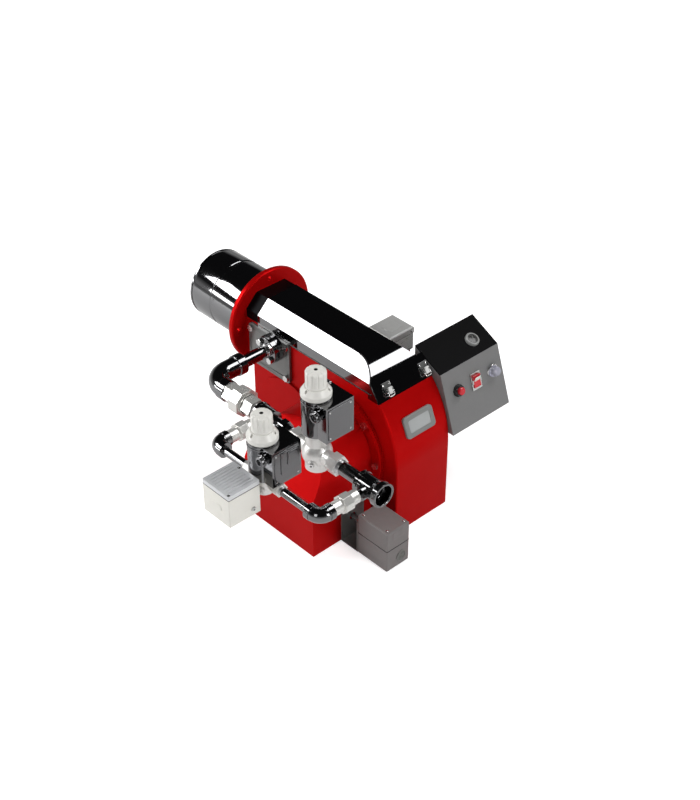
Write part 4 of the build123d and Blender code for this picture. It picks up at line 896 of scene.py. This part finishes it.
# %% [markdown]
# ## The gas pressure gauge
# The gauge on the upper panel has a dark face with a ring of grey marks and one pointer. The
# panel leans, so its direction is read from the solid, as the normal with the most area. Marks
# are small rounded plates set round a circle by rotation, longer at every sixth place. The face
# stands for the solid glass, which would only hide it.

# %% Gauge face
MARK_RING = 0.0097
POINTER_AT = math.radians(62)


def facing(node, hint):
    """The unit normal that covers the most area of a node among those near a hint."""
    mesh = nodes[node].data
    normals, areas = np.zeros(len(mesh.polygons) * 3), np.zeros(len(mesh.polygons))
    mesh.polygons.foreach_get("normal", normals)
    mesh.polygons.foreach_get("area", areas)
    normals = normals.reshape(-1, 3)
    near = normals @ np.array(hint, float) > 0.6
    kinds, which = np.unique(np.round(normals[near], 3), axis=0, return_inverse=True)
    return kinds[np.argmax(np.bincount(which.ravel(), areas[near]))]


def gauge_face():
    """Face, 25 marks over three quarters of a turn, a pointer and its hub."""
    out = facing("panel_upper", (0, -0.45, 0.89))
    seat = middle("gauge_glass") - out * 0.0009
    v = np.cross(out, X)
    disc = [(0, 0), (0.0109, 0), (0.0109, 0.0011), (0.0104, 0.0013), (0, 0.0013)]
    put("gauge_face", [lathe(seat + out * 0.0010, out, disc, 64)], "burner", "button_black")
    marks = []
    for k, q in enumerate(np.radians(np.linspace(225, -45, 25))):
        spoke = math.cos(q) * X + math.sin(q) * v
        long = 0.0024 if k % 6 == 0 else 0.0013
        marks.append(plate(seat + spoke * (MARK_RING - long / 2) + out * 0.0022, spoke, out,
                           (long, 0.0005), 0.0002, 0.0003, 0.0001, 3))
    spoke = math.cos(POINTER_AT) * X + math.sin(POINTER_AT) * v
    marks.append(plate(seat + spoke * 0.0028 + out * 0.0024, spoke, out, (0.0098, 0.0009),
                       0.0004, 0.0005, 0.0002, 3))
    hub = [(0, 0), (0.0016, 0), (0.0016, 0.0008), (0.0010, 0.0012), (0, 0.0012)]
    marks.append(lathe(seat + out * 0.0022, out, hub, 24))
    put("gauge_marks", marks, "burner", "bezel_grey")


gauge_face()
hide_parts("gauge_glass")
print("gauge face with 25 marks")

# %% [markdown]
# ## The damper drive
# The drive's cover meets its base at a line with a thin rubber seal. On its front are a round
# setting disc with ten fine ribs and, higher up, a small raised plate. Its cable leaves through a
# gland low on the right. The disc and the gland are turned, and the gland's six soft lobes are a
# ripple on its radius, which needs no cutting.

# %% Drive details
finish("disc_grey", (0.15, 0.15, 0.14), 0.38, MOULDED, gloss=0.4)
DISC_RIM = [(0, 0), (0.0118, 0), (0.0118, 0.0012), (0.0112, 0.0018), (0.0100, 0.0018),
            (0.0096, 0.0009), (0, 0.0009)]
DRIVE_GLAND = [(0, 0), (0.0085, 0), (0.0085, 0.0045), (0.0065, 0.0065), (0.0065, 0.0110),
               (0.0050, 0.0120), (0.0032, 0.0122), (0.0030, 0.0060), (0, 0.0060)]


def seal_between(node, over, down, corner, thick):
    """A flat seal round the top of a box, a little larger than the box all round."""
    low, high = np.array(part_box(node))
    mid, size = (low + high) / 2, high - low + over
    return plate((mid[0], mid[1], high[2] - down), X, Z, (size[0], size[1]), corner, thick, 0.0003)


def drive_details():
    """Seal, setting disc with its rays, plate and cable gland of the damper drive."""
    low, high = np.array(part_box("servo_base"))
    mid = (low + high) / 2
    put("drive_seal", [seal_between("servo_base", 0.0012, 0.0006, 0.0036, 0.0012)], "burner",
        "button_black")
    eye = np.array((mid[0] + 0.008, low[1], low[2] + (high[2] - low[2]) * 0.42))
    rays = [math.cos(q) * X + math.sin(q) * Z for q in np.arange(10) * math.pi / 5]
    disc = [lathe(eye + Y * 0.0004, -Y, DISC_RIM, 72)]
    disc += [plate(eye - Y * 0.0004 + 0.0055 * ray, ray, -Y, (0.0060, 0.0009), 0.0004, 0.0006,
                   0.0002, 3) for ray in rays]
    put("drive_disc", disc, "burner", "disc_grey", "servo_grey")
    ledge = plate((mid[0], low[1] + 0.0002, high[2] + 0.030), X, -Y, (0.030, 0.018), 0.003,
                  0.0007, 0.0003)
    put("drive_plate", [ledge], "burner", "servo_grey")
    gland = lathe((high[0] - 0.0002, mid[1], low[2] + 0.016), X, DRIVE_GLAND, 48,
                  lambda a, r, h: 0.0004 * (r > 0.008) * np.cos(6 * a))
    put("drive_gland", [gland], "burner", "button_black")


drive_details()
print("drive: seal, disc, plate and gland")

# %% [markdown]
# ## Box of the gas pressure switch
# The gas switch is a pale moulded box with a ribbed lid. A dark seal shows between the two, the
# left face has a shallow blank field, and a small hexagon plug sits on the front. The ribs are
# nine of the same rounded plate, a fixed step apart.

# %% Gas switch
GAS_BOX_WIDE = 0.071
RIB_STEP = 0.0072
TEST_PLUG = [(0, 0), (0.0055, 0), (0.0055, 0.0022), (0.0046, 0.0030), (0.0030, 0.0030),
             (0.0026, 0.0014), (0, 0.0014)]


def gas_switch_details():
    """Lid seal, blank field, test plug and lid ribs of the gas switch."""
    low, high = np.array(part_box("gas_switch_box"))
    lid_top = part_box("gas_switch_lid")[1][2]
    right = low[0] + GAS_BOX_WIDE
    mid = np.array(((low[0] + right) / 2, (low[1] + high[1]) / 2, 0))
    seal = plate((mid[0], mid[1], high[2] - 0.0005), X, Z,
                 (right - low[0] + 0.0008, high[1] - low[1] + 0.0008), 0.0022, 0.0010, 0.0003)
    put("gas_switch_seal", [seal], "burner", "button_black")
    field = plate((low[0] + 0.0001, mid[1], low[2] + 0.030), Y, -X, (0.030, 0.012), 0.0058,
                  0.0006, 0.0003)
    put("gas_switch_field", [field], "burner", "cream_plastic")
    plug = lathe((mid[0] + 0.018, low[1] + 0.0002, low[2] + 0.014), -Y, TEST_PLUG, 6)
    put("gas_switch_plug", [plug], "burner", "zinc", sharp=20)
    ribs = [plate((low[0] + 0.0355 - 0.001, y, lid_top - 0.0013), X, Z, (0.0560, 0.0012), 0.0005, 0.0012,
                  0.0003, 3) for y in low[1] + 0.0085 + RIB_STEP * np.arange(9)]
    put("gas_switch_ribs", ribs, "burner", "ribbed_grey")


gas_switch_details()
print("gas switch: seal, field, plug and ribs")

# %% [markdown]
# ## Box of the air pressure switch
# The air switch is a second moulded box. Its front is ribbed, a dark seal shows below its lid, and
# the lid has a raised field, which is left blank. The ribs could be cut into the box, but the
# solid can't be changed, so they stand on it.

# %% Air switch
def air_switch_details():
    """Ribs, seal and blank lid field of the air switch."""
    low, high = np.array(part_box("air_switch_box"))
    mid = (low + high) / 2
    levels = np.arange(low[2] + 0.007, high[2] - 0.004, 0.0046)
    ribs = [plate((mid[0], low[1] + 0.0003, z), X, -Y, (high[0] - low[0] - 0.012, 0.0018),
                  0.0008, 0.0014, 0.0004) for z in levels]
    put("air_switch_ribs", ribs, "burner", "box_grey")
    put("air_switch_seal", [seal_between("air_switch_box", 0.0014, 0.0008, 0.0020, 0.0008)],
        "burner", "button_black")
    field = plate((mid[0], mid[1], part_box("air_switch_lid")[1][2] - 0.0002), X, Z,
                  (0.034, 0.030), 0.0030, 0.0008, 0.0003)
    put("air_switch_field", [field], "burner", "box_grey")


air_switch_details()
print("air switch: ribs, seal and field")

# %% [markdown]
# ## Gasket and weld at the gas flange
# The two gas flanges squeeze a gasket, whose dark edge shows as a line, and the pipe is welded
# into the outer one. A bead is a torus whose thickness ripples: the cosine gives the little
# overlapping scales that a welder leaves.

# %% Gas flange joints
def bead(at, direction, ring_r, wire_r, steps=160, ripples=0):
    """A torus whose thickness is wire_r·(1 + 0.16·cos(ripples·a)), as a weld bead's is."""
    u, v, w = cross_axes(direction)
    a = np.linspace(0, 2 * np.pi, steps, endpoint=False)[None, :, None]
    p = np.linspace(0, 2 * np.pi, 8, endpoint=False)[:, None, None]
    thick = wire_r * (1 + 0.16 * np.cos(ripples * a))
    out = np.cos(a) * u + np.sin(a) * v
    return np.array(at, float) + (ring_r + thick * np.cos(p)) * out + thick * np.sin(p) * w


def gas_flange_joints():
    """The gasket's ring between the flanges and the weld bead round the pipe."""
    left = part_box("gas_flanges")[0][0]
    at = middle("gas_flanges")
    rim = [(0.0150, 0), (0.0303, 0), (0.0303, 0.0008), (0.0150, 0.0008)]
    gasket = lathe((at[0] - 0.0004, at[1], at[2]), X, rim, 80)
    put("flange_gasket", [gasket], "burner", "button_black", wrap_rows=True)
    weld = bead((left + 0.0004, at[1], at[2]), X, 0.0143, 0.0016, 140, 36)
    put("flange_weld", [weld], "burner", "steel", sharp=180, wrap_rows=True)


gas_flange_joints()
print("gasket and weld")

# %% [markdown]
# ## Lip and spot welds of the flame tube, and the hood's strip
# The tube's end is rolled into a lip, and a ring of twelve spot welds shows on its wall. The hood
# sits on a strip of rubber along its left foot. The lip is one turned profile, and each weld is a
# low turned disc that faces straight out from the axis.

# %% Flame tube and hood strip
LIP = [(-0.0024, 0.0), (-0.0002, 0.0004), (0.0000, 0.0016), (-0.0001, 0.0040), (-0.0010, 0.0050),
       (-0.0026, 0.0051)]
SPOT = [(0, -0.0006), (0.0030, -0.0006), (0.0028, 0.0000), (0.0012, 0.0002), (0, 0.0002)]


def tube_and_hood():
    """A rolled lip round the tube's end, spot welds on its wall, and the strip under the hood."""
    low, high = np.array(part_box("flame_tube"))
    r = (high[0] - low[0]) / 2
    lip = lathe((0, high[1] - 0.0052, 0), Y, [(r + dr, h) for dr, h in LIP], 160)
    put("tube_lip", [lip], "burner", "dark_chrome", wrap_rows=True)
    rays = [math.sin(q) * X + math.cos(q) * Z for q in np.radians(np.arange(15, 375, 30))]
    put("tube_spot_welds", [lathe(r * ray + 0.088 * Y, ray, SPOT, 20) for ray in rays], "burner",
        "dark_chrome")
    strip = plate((-0.0672, -0.224, 0.0212), Y, -X, (0.318, 0.0024), 0.0011, 0.0009, 0.0004)
    put("hood_strip", [strip], "burner", "button_black")


tube_and_hood()
print("lip, spot welds and strip")

# %% [markdown]
# ## Bails on the latches
# Each latch pulls the cover down with a bent wire bail. A bail is a closed path with a round
# section: a superellipse, which is a circle squared off by a power, gives its rounded corners.
# Two rivets hold each latch's plate to the hood.

# %% Bails and rivets
BAIL_HALF = (0.0074, 0.0058)
BAIL_WIRE = 0.0011


def wire(path, w, r):
    """A closed path with a round section: path + r·(cos p·outward + sin p·w)."""
    along = np.roll(path, -1, 0) - np.roll(path, 1, 0)
    out = np.cross(along, w)
    out /= np.linalg.norm(out, axis=1)[:, None]
    p = np.linspace(0, 2 * np.pi, 10, endpoint=False)[:, None, None]
    return path[None] + r * (np.cos(p) * out[None] + np.sin(p) * np.array(w))


def squared(wave):
    """A cosine or sine pushed outwards: its sign times the root of its size."""
    return np.sign(wave) * np.abs(wave) ** 0.5


def latch_bails():
    """A bail on each latch and two rivets on each plate."""
    out = facing("latch_plates", (0, -0.9, 0.4))
    up = np.cross(out, X)
    t = np.linspace(0, 2 * np.pi, 60, endpoint=False)[:, None]
    wide, tall = BAIL_HALF[0] * squared(np.cos(t)), BAIL_HALF[1] * squared(np.sin(t))
    rivets = []
    for side in ("left", "right"):
        hook = middle("latch_hook_" + side)
        loop = hook - up * 0.0060 + wide * X + tall * up
        put("bail_" + side, [wire(loop, out, BAIL_WIRE)], "hook_" + side, "zinc", sharp=180,
            wrap_rows=True)
        rivets += [cross_head(hook + s * 0.0085 * X + 0.0125 * up - 0.0054 * out, out, 0.0018,
                              0.0008) for s in (-1, 1)]
    put("latch_rivets", rivets, "cover", "zinc")


latch_bails()
print("two bails and four rivets")

# %% [markdown]
# ## The operator's row
# On the lower panel, the switch key has a pale upper half, which leans by the slope of the key,
# and the lamp's lens stands in a bright ring.

# %% Key inlay and lamp ring
KEY_LEAN = math.atan(4.0 / 13.2)


def operator_row():
    """The inlay on the key's upper slope and the ring round the lamp's foot."""
    out = facing("control_case", (0, -0.9, 0.4))
    up = np.cross(out, X)
    slope = out * math.cos(KEY_LEAN) - up * math.sin(KEY_LEAN)
    inlay = plate(middle("rocker_bezel") + 0.0066 * up + 0.0040 * out, X, slope,
                  (0.0155, 0.0112), 0.0015, 0.0008, 0.0003)
    put("key_inlay", [inlay], "rocker", "porcelain")
    rim = [(0.0119, 0), (0.0138, 0), (0.0138, 0.0018), (0.0130, 0.0028), (0.0119, 0.0028)]
    ring = lathe(middle("run_lamp") - 0.0085 * out, out, rim, 64)
    put("lamp_ring", [ring], "burner", "zinc", wrap_rows=True)


operator_row()
print("key inlay and lamp ring")

# %% [markdown]
# ## The hood's folded seam
# The hood is bent from sheet, and where its left bevel meets the front bend the fold stands proud
# as a thin dark line. The corner's own points are read from the solid: those shared by a face
# that leans left and one that curves forward. A round section carried along them is the seam.

# %% Hood seam
SEAM_R = 0.0016


def seam_points():
    """Points shared by faces leaning to the left and faces of the front bend, back to front."""
    mesh = nodes["top_cover"].data
    shared = {}
    for face in mesh.polygons:
        n, kind = face.normal, None
        if n.x < -0.3 and n.z > -0.1:
            kind = "side"
        elif abs(n.x) < 0.02 and n.y < -0.02 and n.z > 0.1:
            kind = "bend"
        for v in face.vertices:
            key = tuple(round(c, 5) for c in mesh.vertices[v].co)
            shared.setdefault(key, set()).add(kind)
    both = [key for key, kinds in shared.items() if {"side", "bend"} <= kinds and key[0] < 0]
    return np.array(sorted(both, key=lambda c: (-c[1], -c[2])))


def hood_seam():
    """Seam point + r·(cos p·side + sin p·(along × side)), with r falling to 0 at both ends."""
    line = seam_points()
    along = np.gradient(line, axis=0)
    along /= np.linalg.norm(along, axis=1)[:, None]
    side = np.cross(along, X)
    side /= np.linalg.norm(side, axis=1)[:, None]
    other = np.cross(along, side)
    p = np.linspace(0, 2 * np.pi, 10, endpoint=False)[None, :, None]
    r = np.full(len(line), SEAM_R)
    r[[0, -1]] = 0.0
    around = np.cos(p) * side[:, None, :] + np.sin(p) * other[:, None, :]
    grid = line[:, None, :] + r[:, None, None] * around
    put("hood_seam", [grid], "cover", "button_black", sharp=180)
    return len(line)


print("seam drawn through", hood_seam(), "points")

# %% [markdown]
# ## Test plugs on the valve bodies
# A gas valve has tapped points for a pressure gauge, closed by plugs. A boss is turned as one
# profile, and its plug is the same profile helper with only six steps round, which makes a hexagon.

# %% Valve plugs
BOSS = [(0, 0), (0.0088, 0), (0.0082, 0.0052), (0.0074, 0.0060), (0, 0.0060)]
PLUG = [(0, 0), (0.0050, 0), (0.0050, 0.0034), (0.0042, 0.0042), (0.0024, 0.0042),
        (0.0022, 0.0022), (0, 0.0022)]
BOSS_TURN = 0.5


def valve_plug(node):
    """A boss and its hexagon plug on the left of a valve's body, as two grids."""
    low, high = np.array(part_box(node))
    at = middle(node)
    at[2] = middle("union_nut")[2]
    out = -X * math.cos(BOSS_TURN) - Y * math.sin(BOSS_TURN)
    seat = at + out * (high[0] - low[0]) / 2 * 0.86 - Z * 0.010
    return lathe(seat, out, BOSS, 40), lathe(seat + out * 0.0058, out, PLUG, 6)


bosses, plugs = zip(valve_plug("valve1_body"), valve_plug("valve2_body"))
put("valve_bosses", list(bosses), "burner", "cast_silver")
put("valve_plugs", list(plugs), "burner", "zinc", sharp=20)
print("bosses and plugs on two valve bodies")

# %% [markdown]
# ## The size stays the CAD model's
# The pieces added above change the frame's box by half a millimetre at most. The frame's box is
# printed, so that it can be read.

# %% Size and finish
print("frame box", [round(v, 4) for corner in cad_box for v in corner])
